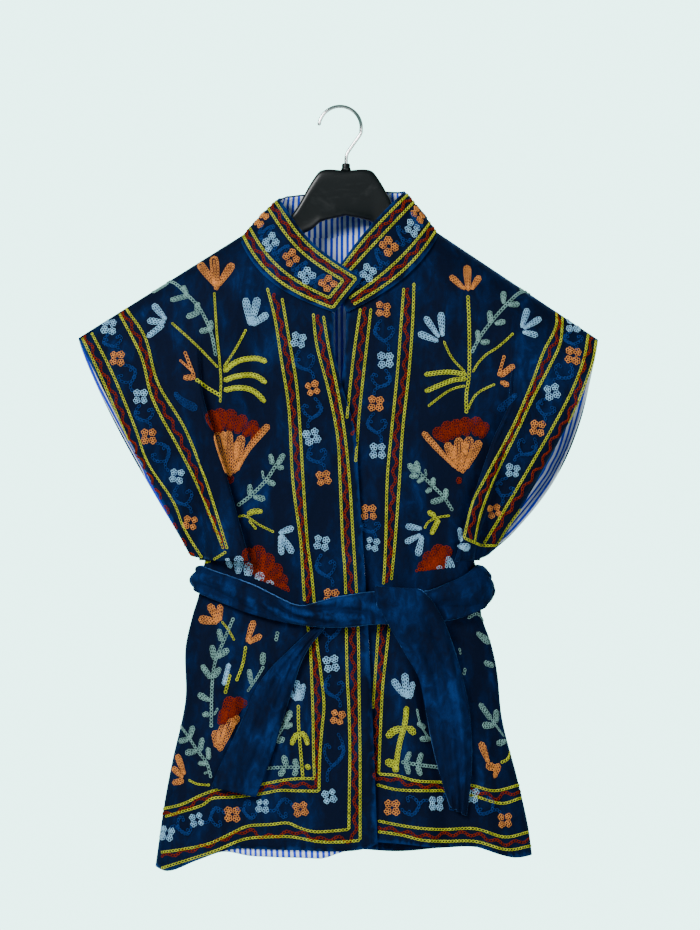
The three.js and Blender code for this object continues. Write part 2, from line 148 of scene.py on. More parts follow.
class Paint:
    # One material, with its nodes made by calls
    def __init__(self, name, constants):
        self.material = bpy.data.materials.new(name)
        self.material.use_nodes = True
        self.tree = self.material.node_tree
        self.surface = self.tree.nodes["Principled BSDF"]
        for socket, value in constants.items():
            self.surface.inputs[socket].default_value = value

    def node(self, kind, settings, sockets, out=0):
        made = self.tree.nodes.new("ShaderNode" + kind)
        for setting, value in settings.items():
            if setting == "stops":
                self.setStops(made.color_ramp, value)
            else:
                setattr(made, setting, value)
        for socket, value in sockets.items():
            if isinstance(value, Wire):
                self.tree.links.new(value.socket, made.inputs[socket])
            else:
                made.inputs[socket].default_value = value
        return Wire(self, made.outputs[out])

    def setStops(self, ramp, stops):
        while len(ramp.elements) < len(stops):
            ramp.elements.new(0.5)
        for element, (place, colour) in zip(ramp.elements, stops):
            element.position = place
            element.color = colour

    def maths(self, operation, first, second=0.0):
        return self.node("Math", dict(operation=operation), {0: first, 1: second})

    def span(self, value, low, high):
        # 0 up to low and 1 from high on, smooth between them
        settings = dict(interpolation_type="SMOOTHSTEP", clamp=True)
        return self.node("MapRange", settings, {"Value": value, "From Min": low, "From Max": high})

    def blend(self, factor, first, second, mode="MIX"):
        settings = dict(data_type="RGBA", blend_type=mode)
        return self.node("Mix", settings, {0: factor, 6: first, 7: second}, out=2)

    def objectPlace(self):
        return self.node("TexCoord", {}, {}, out="Object")

    def stretched(self, vector, scale, turn=(0, 0, 0)):
        return self.node("Mapping", {}, {"Vector": vector, "Scale": scale, "Rotation": turn})

    def noise(self, vector, scale, detail=2.0, rough=0.5, warp=0.0):
        sockets = {"Vector": vector, "Scale": scale, "Detail": detail, "Roughness": rough, "Distortion": warp}
        return self.node("TexNoise", {}, sockets)

    def feed(self, **links):
        for socket, value in links.items():
            self.tree.links.new(value.socket, self.surface.inputs[socket.replace("_", " ")])

    def bump(self, height, strength, distance, below=None):
        sockets = {"Strength": strength, "Distance": distance, "Height": height}
        if below is not None:
            sockets["Normal"] = below
        return self.node("Bump", {}, sockets)


# Velvet: a deep navy pile that is lighter where it is brushed the other way, with painted highlight and shade
# from the edge attribute

velvetLook = dict(
    deep=(0.0007, 0.0033, 0.0150, 1),
    middle=(0.0011, 0.0098, 0.0500, 1),
    # This colour is both the brushed pile and the painted highlight along turned edges and sash crests
    brushedPileAndHighlight=(0.0028, 0.0255, 0.1180, 1),
    sheenTint=(0.10, 0.32, 0.85, 1),
)


def paintVelvet(name, lighter):
    paint = Paint(name, {
        "Roughness": 0.8,
        "Specular IOR Level": 0.06,
        "Sheen Weight": 0.52,
        "Sheen Roughness": 0.26,
        "Sheen Tint": velvetLook["sheenTint"],
    })
    place = paint.objectPlace()
    hanging = paint.stretched(place, (1.0, 1.0, 0.26))
    sweep = paint.noise(hanging, 30, detail=3, rough=0.55, warp=0.5)
    patches = paint.noise(paint.stretched(place, (1.0, 1.0, 0.6)), 85, detail=3, rough=0.6, warp=0.8)
    pile = paint.noise(place, 1700, detail=2, rough=0.6)
    # The edge attribute paints light: a painted highlight along turned edges and sash crests, and painted
    # shade in the sash's valleys
    turned = paint.node("Attribute", dict(attribute_name="edge"), {}, out="Fac")
    brushing = paint.span(sweep * 0.65 + patches * 0.35, 0.42 - lighter, 0.70 - lighter)
    base = paint.blend(brushing, velvetLook["deep"], velvetLook["middle"])
    # Random brushed patches, mixed with the painted highlight and shade of the edge attribute
    crushedPileAndPaintedLight = paint.span(patches * 0.45 + sweep * 0.55 + turned * 0.24, 0.56 - lighter, 0.80 - lighter)
    shade = paint.blend(crushedPileAndPaintedLight, base, velvetLook["brushedPileAndHighlight"])
    speckle = paint.blend(paint.span(pile, 0.3, 0.75), (0.66, 0.66, 0.66, 1), (1.32, 1.32, 1.32, 1))
    colour = paint.blend(1.0, shade, speckle, "MULTIPLY")
    soft = paint.bump(sweep * 0.6 + patches * 0.4, 0.55, 0.004)
    normal = paint.bump(pile, 0.35, 0.0006, soft)
    paint.feed(Base_Color=colour, Roughness=0.72 + 0.2 * pile, Normal=normal)
    return paint.material


# Cotton: a plain weave with blue stripes that follow the cloth's own threads

stripes = dict(period=0.0067, blue=(0.012, 0.040, 0.62, 1), white=(0.80, 0.88, 1.0, 1), threads=0.00045)


def paintCotton():
    paint = Paint("cottonStripe", {"Roughness": 0.85, "Specular IOR Level": 0.2, "Sheen Weight": 0.15})
    cloth = paint.node("UVMap", dict(uv_map="cloth"), {})
    split = paint.node("SeparateXYZ", {}, {0: cloth}, out="X")
    down = paint.node("SeparateXYZ", {}, {0: cloth}, out="Y")
    wobble = paint.noise(paint.objectPlace(), 900, detail=1)
    across = paint.maths("FRACT", split / stripes["period"] + wobble * 0.05)
    ramp = [(0.0, stripes["white"]), (0.46, stripes["white"]), (0.52, stripes["blue"]),
            (0.94, stripes["blue"]), (1.0, stripes["white"])]
    striped = paint.node("ValToRGB", dict(stops=ramp), {"Fac": across})
    turns = 2 * math.pi / stripes["threads"]
    warp = paint.maths("SINE", split * turns)
    weft = paint.maths("SINE", down * turns)
    weave = 0.5 + warp * weft * 0.5
    creases = paint.noise(paint.objectPlace(), 45, detail=3, warp=0.4)
    shade = paint.blend(weave, (0.84, 0.84, 0.84, 1), (1.06, 1.06, 1.06, 1))
    colour = paint.blend(1.0, striped, shade, "MULTIPLY")
    rumpled = paint.bump(creases, 0.4, 0.004)
    woven = paint.bump(weave, 0.3, 0.0002, rumpled)
    paint.feed(Base_Color=colour, Normal=woven, Roughness=0.78 + 0.15 * weave)
    return paint.material


# The hanger's plastic, with a faint moulded grain and handling marks, and the hook's chrome


def paintPlastic():
    paint = Paint("hangerPlastic", {"Specular IOR Level": 0.32})
    place = paint.objectPlace()
    grain = paint.noise(place, 700, detail=2)
    wear = paint.noise(place, 28, detail=5, rough=0.65, warp=0.5)
    scuffs = paint.noise(paint.stretched(place, (1, 1, 6), (0, 0.5, 0)), 60, detail=3, rough=0.7)
    rubbed = paint.span(wear, 0.5, 0.72)
    colour = paint.blend(rubbed, (0.0022, 0.0033, 0.0042, 1), (0.0058, 0.0076, 0.0090, 1))
    rough = 0.34 + 0.16 * rubbed + 0.1 * paint.span(scuffs, 0.55, 0.75)
    paint.feed(Base_Color=colour, Roughness=rough, Normal=paint.bump(grain, 0.12, 0.0003))
    return paint.material


def paintChrome():
    paint = Paint("hookChrome", {"Metallic": 1.0})
    place = paint.objectPlace()
    drawn = paint.noise(paint.stretched(place, (1, 1, 0.15)), 900, detail=2)
    dull = paint.noise(place, 120, detail=4, rough=0.65)
    tarnish = paint.span(dull, 0.48, 0.7)
    colour = paint.blend(tarnish, (0.74, 0.75, 0.76, 1), (0.50, 0.50, 0.50, 1))
    rough = 0.12 + 0.14 * tarnish + 0.06 * drawn
    paint.feed(Base_Color=colour, Roughness=rough, Normal=paint.bump(drawn, 0.05, 0.0002))
    return paint.material


# A painted floor: matt, with a faint roller texture


def paintFloor():
    paint = Paint("studioFloor", {"Specular IOR Level": 0.2})
    place = paint.objectPlace()
    roller = paint.noise(place, 180, detail=3)
    tone = paint.blend(paint.noise(place, 3, detail=2), studio["floorColour"], (0.84, 0.88, 0.87, 1))
    paint.feed(Base_Color=tone, Roughness=0.75 + 0.15 * roller, Normal=paint.bump(roller, 0.1, 0.0005))
    return paint.material


velvetPaint = paintVelvet("velvet", 0.0)
sashPaint = paintVelvet("sashVelvet", 0.06)
cottonPaint = paintCotton()
plasticPaint = paintPlastic()
chromePaint = paintChrome()
print("materials are mixed")


# Curves through tables


def read(rows, place, column=1):
    # A smooth curve through a column of a table, read at places along its first column
    keys = np.array([row[0] for row in rows], float)
    values = np.array([row[column] for row in rows], float)
    slopes = np.empty_like(keys)
    slopes[1:-1] = (values[2:] - values[:-2]) / (keys[2:] - keys[:-2])
    slopes[0] = (values[1] - values[0]) / (keys[1] - keys[0])
    slopes[-1] = (values[-1] - values[-2]) / (keys[-1] - keys[-2])
    place = np.clip(np.asarray(place, float), keys[0], keys[-1])
    i = np.clip(np.searchsorted(keys, place, "right") - 1, 0, len(keys) - 2)
    span = keys[i + 1] - keys[i]
    t = (place - keys[i]) / span
    return (
        values[i] * (1 + 2 * t) * (1 - t) ** 2
        + values[i + 1] * t * t * (3 - 2 * t)
        + slopes[i] * span * t * (1 - t) ** 2
        - slopes[i + 1] * span * t * t * (1 - t)
    )


def lineLengths(line):
    # How far along a line each of its points is
    return np.concatenate([[0], np.cumsum(np.linalg.norm(np.diff(line, axis=0), axis=1))])


def lerp(start, end, share):
    return start + (end - start) * share


def smoothstep(value, low, high):
    t = np.clip((value - low) / (high - low), 0, 1)
    return t * t * (3 - 2 * t)


def rounded(share, power):
    return (1 - np.minimum(1, np.abs(share)) ** power) ** (1 / power)


# Mesh helpers


def addPiece(name, shape, material, smooth=True):
    data = bpy.data.meshes.new(name)
    shape.to_mesh(data)
    shape.free()
    data.materials.append(material)
    for polygon in data.polygons:
        polygon.use_smooth = smooth
    piece = bpy.data.objects.new(name, data)
    bpy.context.scene.collection.objects.link(piece)
    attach(piece, root)
    return piece


def arcLengths(places, axis):
    # How far each point is along its row or column, in metres
    steps = np.linalg.norm(np.diff(places, axis=axis), axis=2)
    steps = np.nan_to_num(steps)
    shape = list(places.shape[:2])
    shape[axis] = 1
    return np.concatenate([np.zeros(shape), np.cumsum(steps, axis=axis)], axis=axis) * millimetre


def alongCuffs(places):
    # The lining's threads run straight down the middle of the back, and along the cuffs on its sleeves
    across = np.nan_to_num(arcLengths(places, 1))
    middle = places.shape[1] // 2
    fromMiddle = across - across[:, middle : middle + 1]
    fromCuffs = across - np.where(np.arange(places.shape[1]) > middle, across[:, -1:], across[:, :1])
    sleeve = smoothstep(np.abs(places[:, :, 0]), 130, 175) * (-places[:, :, 2] < jacket["underarm"])
    return lerp(fromMiddle, fromCuffs, np.nan_to_num(sleeve))


def clothShape(places, closed=False, missing=None, edge=None, across=None):
    # A grid whose points go to their places, in millimetres. Points that are missing or not a number
    # are left out.
    rows, columns = places.shape[:2]
    across = arcLengths(places, 1) if across is None else across
    down = arcLengths(places, 0)
    shape = bmesh.new()
    bmesh.ops.create_grid(shape, x_segments=columns - 1, y_segments=rows - 1, size=0.5)
    threads = shape.loops.layers.uv.new("cloth")
    # The edge layer holds the weight of the velvet's painted highlight, and on the sash its painted shade too
    turned = shape.verts.layers.float.new("edge")
    shape.verts.ensure_lookup_table()
    cells = {}
    gone = []
    for corner in shape.verts:
        r = round((0.5 - corner.co.y) * (rows - 1))
        c = round((corner.co.x + 0.5) * (columns - 1))
        cells[corner.index] = (r, c)
        if np.isnan(places[r, c, 0]) or (missing is not None and missing[r, c]):
            gone.append(corner)
        else:
            corner.co = places[r, c] * millimetre
            corner[turned] = 0.0 if edge is None else edge[r, c]
    for face in shape.faces:
        for loop in face.loops:
            cell = cells[loop.vert.index]
            loop[threads].uv = (across[cell], down[cell])
    bmesh.ops.delete(shape, geom=gone, context="VERTS")
    if closed:
        bmesh.ops.remove_doubles(shape, verts=shape.verts[:], dist=0.00002)
        bmesh.ops.recalc_face_normals(shape, faces=shape.faces[:])
    else:
        faceOutwards(shape)
    return shape


def edgeHighlight(places, startWidth, endWidth, hemWidth, hemColumns):
    # 1 along the turned edges of a panel, 0 away from them: the weight of a painted highlight there
    across, down = arcLengths(places, 1) / millimetre, arcLengths(places, 0) / millimetre
    rows, columns = places.shape[:2]
    last = (~np.isnan(places[:, :, 0])).sum(axis=1) - 1
    ending = across[np.arange(rows), last][:, None]
    shade = np.zeros((rows, columns))
    for width, gone in ((startWidth, across), (endWidth, ending - across)):
        if width:
            shade = np.maximum(shade, 1 - smoothstep(gone, 0.35 * width, width))
    if hemWidth:
        hem = 1 - smoothstep(down[-1:] - down, 0.35 * hemWidth, hemWidth)
        hem[:, ~hemColumns] = 0
        shade = np.maximum(shade, hem)
    return shade


def faceOutwards(shape):
    # Turns the faces away from the hanger's upright line
    shape.normal_update()
    outward = 0.0
    for face in shape.faces:
        middle = face.calc_center_median()
        outward += face.calc_area() * (face.normal.x * middle.x + face.normal.y * middle.y) / middle.xy.length
    if outward < 0:
        bmesh.ops.reverse_faces(shape, faces=shape.faces[:])


def thicken(piece, thick):
    wall = piece.modifiers.new("clothThickness", "SOLIDIFY")
    wall.thickness = thick * millimetre
    wall.offset = -1
    wall.use_even_offset = False
    wall.use_rim = True


# The jacket's shape, from the same values as its CAD source

jacket = dict(
    velvetThick=1.8, liningThick=0.9, liningInside=2.2, halfSeam=0.04, seamRoom=4.0,
    underarm=529, foldStart=324, shoulderRound=90, sidePower=2.6, foldLayer=10,
    cuffDepth=18, cuffFade=0.4, overlapRecess=5, overlapFade=45, settlePower=4,
    bodyColumns=44, turnColumns=6, layerColumns=5, sleeveColumns=28, upperRows=62, lowerRows=54,
    bodySpacing=1.7, sleeveSpacing=1.25, rowSpacing=1.6, foldGrows=(0.2, 0.58),
)
fullness = [  # drop, front, back
    (150, 38, 34), (300, 43, 40), (450, 43, 39), (529, 40, 36),
    (585, 36, 32), (660, 43, 40), (760, 52, 50), (890, 58, 58),
]
sides = {
    "right": dict(
        sign=-1, neckOut=113, neckDrop=148, cuffBulge=9, bulgeAt=0.35,
        opening=[(242, 7), (280, 7), (320, -1), (377, -17), (440, -22), (560, -30), (693, -37), (866, -44)],
        side=[(150, 156), (324, 160), (440, 162), (529, 158), (550, 164.5), (568, 165),
              (595, 173), (633, 181), (693, 181), (763, 196), (810, 205), (886, 216)],
        ridge=[(150, 168), (324, 164), (430, 136), (529, 109)],
        cuff=[(269, 306), (396, 242), (524, 175)],
        hem=[(-44, 856, 872), (-30, 862, 872), (0, 865, 872), (60, 863, 874),
             (130, 864, 872), (168, 877, 880), (199, 890, 886), (216, 886, 886)],
    ),
    "left": dict(
        sign=1, neckOut=113, neckDrop=145, cuffBulge=22, bulgeAt=0.62,
        opening=[(242, 8), (296, 5), (320, 2), (440, 0), (560, 2), (693, 10), (866, 20)],
        side=[(150, 194), (324, 196), (440, 180), (529, 157), (550, 168), (568, 169),
              (590, 165), (627, 177), (660, 184), (716, 190), (786, 208), (839, 220), (875, 225)],
        ridge=[(150, 206), (330, 204), (391, 181), (460, 158), (529, 138)],
        cuff=[(271, 302), (297, 296), (367, 267), (498, 194), (521, 176)],
        hem=[(0, 853, 872), (20, 853, 872), (78, 857, 874), (120, 861, 870),
             (152, 859, 868), (202, 874, 874), (225, 873, 873)],
    ),
}
folds = [  # side, face, out at the waist, out at the hem, depth, width
    ("right", "front", 104, 118, -9, 17), ("right", "front", 60, 66, 5, 26),
    ("left", "front", 84, 134, -11, 15), ("left", "front", 70, 104, 5, 18),
    ("left", "front", 140, 178, 4, 20),
    ("right", "back", 45, 62, -9, 20), ("right", "back", 112, 138, -8, 18),
    ("left", "back", 40, 60, -9, 20), ("left", "back", 110, 140, -8, 18),
]

# Soft creases: side, face, where they start and end as out and drop, depth (inwards is minus) and width
creases = [
    ("right", "front", (60, 535), (52, 440), 2.6, 11), ("right", "front", (96, 545), (120, 470), -2.6, 9),
    ("right", "front", (30, 560), (34, 470), -1.6, 8), ("right", "front", (135, 540), (148, 470), 2.4, 9),
    ("right", "front", (78, 620), (84, 800), -2.4, 9), ("right", "front", (140, 610), (168, 840), 3.0, 13),
    ("right", "front", (150, 615), (188, 870), -2.4, 9), ("right", "front", (40, 615), (30, 800), -1.6, 10),
    ("right", "front", (50, 200), (120, 330), -1.5, 20), ("right", "front", (110, 190), (128, 420), 1.8, 16),
    ("left", "front", (54, 540), (46, 420), 2.2, 10), ("left", "front", (90, 540), (112, 440), -2.8, 10),
    ("left", "front", (128, 535), (150, 420), 2.2, 11), ("left", "front", (34, 560), (30, 440), -1.8, 8),
    ("left", "front", (60, 615), (72, 840), -2.0, 9), ("left", "front", (110, 640), (150, 870), 2.6, 10),
    ("left", "front", (150, 620), (200, 860), -3.0, 11), ("left", "front", (118, 180), (130, 400), 1.8, 17),
    ("left", "front", (60, 200), (100, 330), -1.4, 18), ("left", "front", (170, 210), (196, 330), -1.6, 14),
    ("right", "back", (30, 540), (22, 400), -3.0, 12), ("right", "back", (84, 540), (92, 400), 3.0, 12),
    ("right", "back", (130, 540), (140, 420), -2.6, 11), ("right", "back", (84, 610), (96, 860), 3.2, 13),
    ("left", "back", (26, 540), (30, 400), 2.8, 12), ("left", "back", (76, 540), (70, 390), -3.0, 12),
    ("left", "back", (124, 540), (136, 420), 2.6, 11), ("left", "back", (84, 610), (96, 860), 3.2, 13),
    ("right", "front", (104, 618), (124, 800), -6.5, 8), ("right", "front", (92, 618), (100, 800), 3.0, 9),
    ("right", "front", (158, 612), (176, 800), 3.4, 8), ("right", "front", (146, 620), (150, 780), -3.0, 8),
    ("left", "front", (120, 612), (150, 790), -6.0, 8), ("left", "front", (96, 615), (108, 800), -3.2, 9),
    ("left", "front", (164, 615), (190, 800), -4.0, 8), ("left", "front", (30, 620), (36, 820), -2.0, 8),
    ("right", "front", (112, 545), (126, 400), 2.4, 10), ("left", "front", (72, 545), (74, 400), 2.0, 10),
    ("right", "front", (186, 250), (168, 450), 1.6, 12), ("right", "front", (230, 280), (175, 480), -1.6, 11),
    ("left", "front", (220, 260), (196, 420), 1.6, 12), ("left", "front", (262, 270), (190, 470), -1.4, 12),
]


def sideOut(side, drop):
    return read(side["side"], drop)


def openingOut(side, face, drop):
    return read(side["opening"], drop) if face == "front" else np.zeros_like(np.asarray(drop, float))


def shoulderDrop(side, out):
    tipDrop, tipOut = side["cuff"][0]
    slope = (tipDrop - side["neckDrop"]) / (tipOut - side["neckOut"])
    return side["neckDrop"] + (out - side["neckOut"]) * slope


def topDrop(side, face, out):
    share = np.clip(out / side["neckOut"], 0, 1)
    if face == "back":
        neckline = lerp(side["neckDrop"] + 9, side["neckDrop"], share**2)
    else:
        startDrop, startOut = side["opening"][0]
        along = (out - startOut) / (side["neckOut"] - startOut)
        neckline = lerp(startDrop, side["neckDrop"], along) + 3 * np.sin(np.pi * along)
    return np.where(out >= side["neckOut"], shoulderDrop(side, out), neckline)


def creaseDepth(name, face, out, drop):
    depth = np.zeros(np.broadcast(out, drop).shape)
    for side, over, start, end, deep, width in creases:
        if side != name or over != face:
            continue
        run = (end[0] - start[0], end[1] - start[1])
        length = math.hypot(*run)
        along = ((out - start[0]) * run[0] + (drop - start[1]) * run[1]) / length
        aside = ((out - start[0]) * run[1] - (drop - start[1]) * run[0]) / length
        share = np.clip(along / length, -0.35, 1.35)
        fade = smoothstep(share, -0.3, 0.25) * (1 - smoothstep(share, 0.55, 1.3))
        depth += deep * fade * np.exp(-((aside / (width * (0.8 + 0.5 * np.clip(share, 0, 1)))) ** 2))
    phase = {"right": 0.0, "left": 1.9}[name] + {"front": 0.0, "back": 2.6}[face]
    depth += 0.9 * np.sin(out / 21 + drop / 83 + phase) * np.sin(drop / 52 - out / 95 + 2 * phase)
    depth += 0.5 * np.sin(out / 11 - drop / 47 + 3 * phase) * np.sin(drop / 31 + phase)
    return depth


def foldDepth(name, face, out, drop):
    depth = np.zeros(np.broadcast(out, drop).shape)
    for side, over, waistOut, hemOut, deep, width in folds:
        if side == name and over == face:
            centre = lerp(waistOut, hemOut, (drop - 585) / (880 - 585))
            depth += deep * smoothstep(drop, 600, 800) * np.exp(-(((out - centre) / width) ** 2))
    return depth


def bodyDepth(name, face, out, drop):
    side = sides[name]
    below = drop - shoulderDrop(side, out)
    top = rounded(1 - np.clip(below / jacket["shoulderRound"], 0, 1), 2)
    width = sideOut(side, drop)
    closing = smoothstep(drop, jacket["foldStart"], jacket["underarm"])
    across = lerp(1, rounded(out / width, jacket["sidePower"]), closing)
    past = np.clip((out - width) / (side["cuff"][0][1] - width), 0, 1)
    column = 1 if face == "front" else 2
    depth = read(fullness, drop, column) * top * across * (1 - jacket["cuffFade"] * past)
    calm = 1 - 0.75 * np.exp(-(((drop - 575) / 30) ** 2))  # the sash holds the cloth flat
    soft = foldDepth(name, face, out, drop) + creaseDepth(name, face, out, drop) * calm
    depth = depth + soft * across * smoothstep(below, 0, 60)
    if name == "left" and face == "front":
        edge = -read(sides["right"]["opening"], drop)
        depth = depth - jacket["overlapRecess"] * (1 - smoothstep(out, edge, edge + jacket["overlapFade"]))
    return np.maximum(jacket["halfSeam"], depth)


def pointsAt(side, face, out, drop, depth):
    facing = -1 if face == "front" else 1
    out, drop, depth = np.broadcast_arrays(out, drop, depth)
    return np.stack([side["sign"] * out, facing * depth, -drop], axis=-1)


def cuffSwell(side, way):
    # How far the back of a sleeve reaches past its front, along the cuff
    return side["cuffBulge"] * np.sin(np.pi * way ** (math.log(2) / -math.log(side["bulgeAt"])))


def halfPanel(name, face):
    # One half of the front or back: columns run from the middle out to the cuff, rows from the shoulder down
    side = sides[name]
    layer = jacket["foldLayer"]
    underarm = jacket["underarm"]
    firstSide = side["side"][0][1]
    topRidge = side["ridge"][0][1]
    cuffTipOut = side["cuff"][0][1]
    way = ((np.arange(jacket["upperRows"] + 1) / jacket["upperRows"]) ** jacket["rowSpacing"])[:, None]
    fold = smoothstep(way, *jacket["foldGrows"])
    settled = (1 - way) ** jacket["settlePower"]

    k = np.linspace(0, 1, jacket["bodyColumns"] + 1)[None, :]
    share = 1 - (1 - k) ** jacket["bodySpacing"]
    topOut = lerp(openingOut(side, face, 0), firstSide, share)
    start = topDrop(side, face, topOut)
    drop = lerp(start, underarm, way)
    settle = topOut - lerp(openingOut(side, face, start), sideOut(side, start), share)
    out = lerp(openingOut(side, face, drop), sideOut(side, drop), share) + settle * settled
    body = pointsAt(side, face, out, drop, bodyDepth(name, face, out, drop))

    # The underarm fold: round a valley at the side line, back along a middle layer, round the ridge
    turns = jacket["turnColumns"]
    middle = jacket["layerColumns"]
    angle = np.linspace(0, np.pi, turns + 1)[1:]
    across = np.concatenate([np.zeros(turns), np.linspace(0, 1, middle + 2)[1:-1], np.ones(turns)])[None, :]
    swing = np.concatenate([np.sin(angle), np.zeros(middle), -np.sin(angle)])[None, :]
    lift = np.concatenate([(1 - np.cos(angle)) / 2, np.ones(middle), 1 + (1 - np.cos(angle)) / 2])[None, :]
    even = np.linspace(0, 1, across.shape[1] + 2)[None, 1:-1]
    spread = lerp(even, across, fold)
    topOut = lerp(firstSide, topRidge, even)
    start = shoulderDrop(side, topOut)
    drop = lerp(start, underarm, way)
    settle = topOut - lerp(sideOut(side, start), read(side["ridge"], start), even)
    out = lerp(sideOut(side, drop), read(side["ridge"], drop), spread) + settle * settled
    depth = bodyDepth(name, face, out, drop) + layer * lift * fold
    turn = pointsAt(side, face, out + swing * fold * layer / 2, drop, depth)

    # The sleeve, from the ridge out to the cuff
    k = np.linspace(0, 1, jacket["sleeveColumns"] + 1)[None, :]
    share = 1 - (1 - k) ** jacket["sleeveSpacing"]
    topOut = lerp(topRidge, cuffTipOut, share)
    start = shoulderDrop(side, topOut)
    end = lerp(underarm, side["cuff"][-1][0], share**3)
    drop = lerp(start, end, way)
    bulge = cuffSwell(side, way) if face == "back" else 0.0
    settle = topOut - lerp(read(side["ridge"], start), read(side["cuff"], start), share)
    out = lerp(read(side["ridge"], drop), read(side["cuff"], drop) + bulge, share) + settle * settled
    below = np.clip((drop - shoulderDrop(side, out)) / jacket["shoulderRound"], 0, 1)
    rounding = rounded(1 - below, 2) * rounded(np.clip((way - 0.8) / 0.2, 0, 1), 2)
    lifted = bodyDepth(name, face, out, drop) + 2 * layer * fold * (1 - share**12)
    least = jacket["cuffDepth"] * rounding * smoothstep(share, 0, 1)
    depth = np.maximum(jacket["halfSeam"], np.maximum(lifted, least))
    sleeve = pointsAt(side, face, out, drop, depth)

    upper = np.concatenate([body, turn, sleeve], axis=1)

    k = np.linspace(0, 1, jacket["bodyColumns"] + 1)[None, :]
    share = 1 - (1 - k) ** jacket["bodySpacing"]
    down = (np.arange(1, jacket["lowerRows"] + 1) / jacket["lowerRows"])[:, None]
    hemOut = lerp(openingOut(side, face, 880), sideOut(side, 880), share)
    hemDrop = read(side["hem"], hemOut, 1 if face == "front" else 2)
    drop = lerp(underarm, hemDrop, down)
    out = lerp(openingOut(side, face, drop), sideOut(side, drop), share)
    lowerBody = pointsAt(side, face, out, drop, bodyDepth(name, face, out, drop))
    lower = np.full((jacket["lowerRows"], upper.shape[1], 3), np.nan)
    lower[:, : lowerBody.shape[1]] = lowerBody
    return np.concatenate([upper, lower], axis=0)


def inwardMoved(places, distance):
    # The same cloth moved towards the inside, with its seams kept in the middle plane
    filled = places.copy()
    for r in range(filled.shape[0]):
        bad = np.isnan(filled[r, :, 0])
        if bad.any():
            filled[r, bad] = filled[r, ~bad][-1]
    acrossStep = np.gradient(filled, axis=1)
    downStep = np.gradient(filled, axis=0)
    edge = np.isnan(places[:, :, 0])
    last = (~edge).sum(axis=1) - 1
    for r in range(filled.shape[0]):
        acrossStep[r, last[r]] = filled[r, last[r]] - filled[r, last[r] - 1]
    normal = np.cross(acrossStep, downStep)
    outward = (normal[:, :, :2] * filled[:, :, :2]).sum(axis=2).sum()
    normal *= 1 if outward > 0 else -1
    seam = np.abs(filled[:, :, 1]) <= jacket["halfSeam"] + 1e-3
    normal[seam, 1] = 0
    length = np.linalg.norm(normal, axis=2, keepdims=True)
    return places - distance * normal / np.maximum(length, 1e-9)


def fullPanel(face):
    right = halfPanel("right", face)
    left = halfPanel("left", face)
    return np.concatenate([left[:, ::-1], right[:, 1:]], axis=1)


velvetTrees = {}
shellPlaces = {}
shellFaces = {}


def keepSurface(node, shape):
    # The cloth's face as points and polygons, for the embroidery to land on
    shape.verts.index_update()
    points = [tuple(corner.co) for corner in shape.verts]
    faces = [tuple(corner.index for corner in face.verts) for face in shape.faces]
    shellFaces[node] = (points, faces)
    velvetTrees[node] = BVHTree.FromPolygons(points, faces)


def joinedTree(nodes):
    points, faces = [], []
    for node in nodes:
        first = len(points)
        points += shellFaces[node][0]
        faces += [tuple(first + corner for corner in face) for face in shellFaces[node][1]]
    return BVHTree.FromPolygons(points, faces)


def makeShells():
    shellPlaces["front_right"] = halfPanel("right", "front")
    shellPlaces["front_left"] = halfPanel("left", "front")
    shellPlaces["back"] = fullPanel("back")
    for node, places in shellPlaces.items():
        opening, cuff = (8, 5) if node != "back" else (5, 5)
        # Painted highlight along the opening, cuff and hem edges
        edge = edgeHighlight(places, opening, cuff, 6, ~np.isnan(places[-1, :, 0]))
        shape = clothShape(places, edge=edge)
        keepSurface(node, shape)
        piece = addPiece("velvet" + nodeWords[node], shape, velvetPaint)
        thicken(piece, jacket["velvetThick"])
        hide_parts(node)


lining = dict(  # what it keeps clear of, then how it hangs at the hem and stands up at the neck
    spare=0.4, nearest=0.9, aboveArm=12,
    hemStart=700, hemReach=165, hangs=9, short=16, neckUp=7, neckForward=2.6,
)


def noRoom(node, inner):
    # Where the lining would touch another layer of velvet, or lies along a seam
    places = shellPlaces[node]
    needed = jacket["liningInside"] + jacket["liningThick"] + jacket["velvetThick"] + lining["spare"]
    inward = inner - places
    inward /= np.maximum(np.linalg.norm(inward, axis=2, keepdims=True), 1e-9)
    missing = np.abs(places[:, :, 1]) < jacket["seamRoom"]
    body = jacket["bodyColumns"]
    sleeves = np.ones(places.shape[1], bool)
    sleeves[: body + 1] = node == "back"
    if node == "back":
        middle = places.shape[1] // 2
        sleeves[middle - body : middle + body + 1] = False
    missing |= sleeves[None, :] & (-places[:, :, 2] > jacket["underarm"] - lining["aboveArm"])
    tight = np.zeros(missing.shape, bool)
    for cell in np.argwhere(~missing & ~np.isnan(places[:, :, 0])):
        cell = tuple(cell)
        start = Vector(places[cell] + inward[cell] * 0.3) * millimetre
        for tree in velvetTrees.values():
            if tree.ray_cast(start, Vector(inward[cell]), needed * millimetre)[0] is not None:
                missing[cell] = True
                break
            nearest = tree.find_nearest(Vector(inner[cell]) * millimetre)[3]
            if nearest < lining["nearest"] * jacket["liningInside"] * millimetre:
                tight[cell] = True
                break
    missing |= tight
    missing[1:] |= tight[:-1]
    missing[:-1] |= tight[1:]
    missing[:, 1:] |= tight[:, :-1]
    missing[:, :-1] |= tight[:, 1:]
    return missing


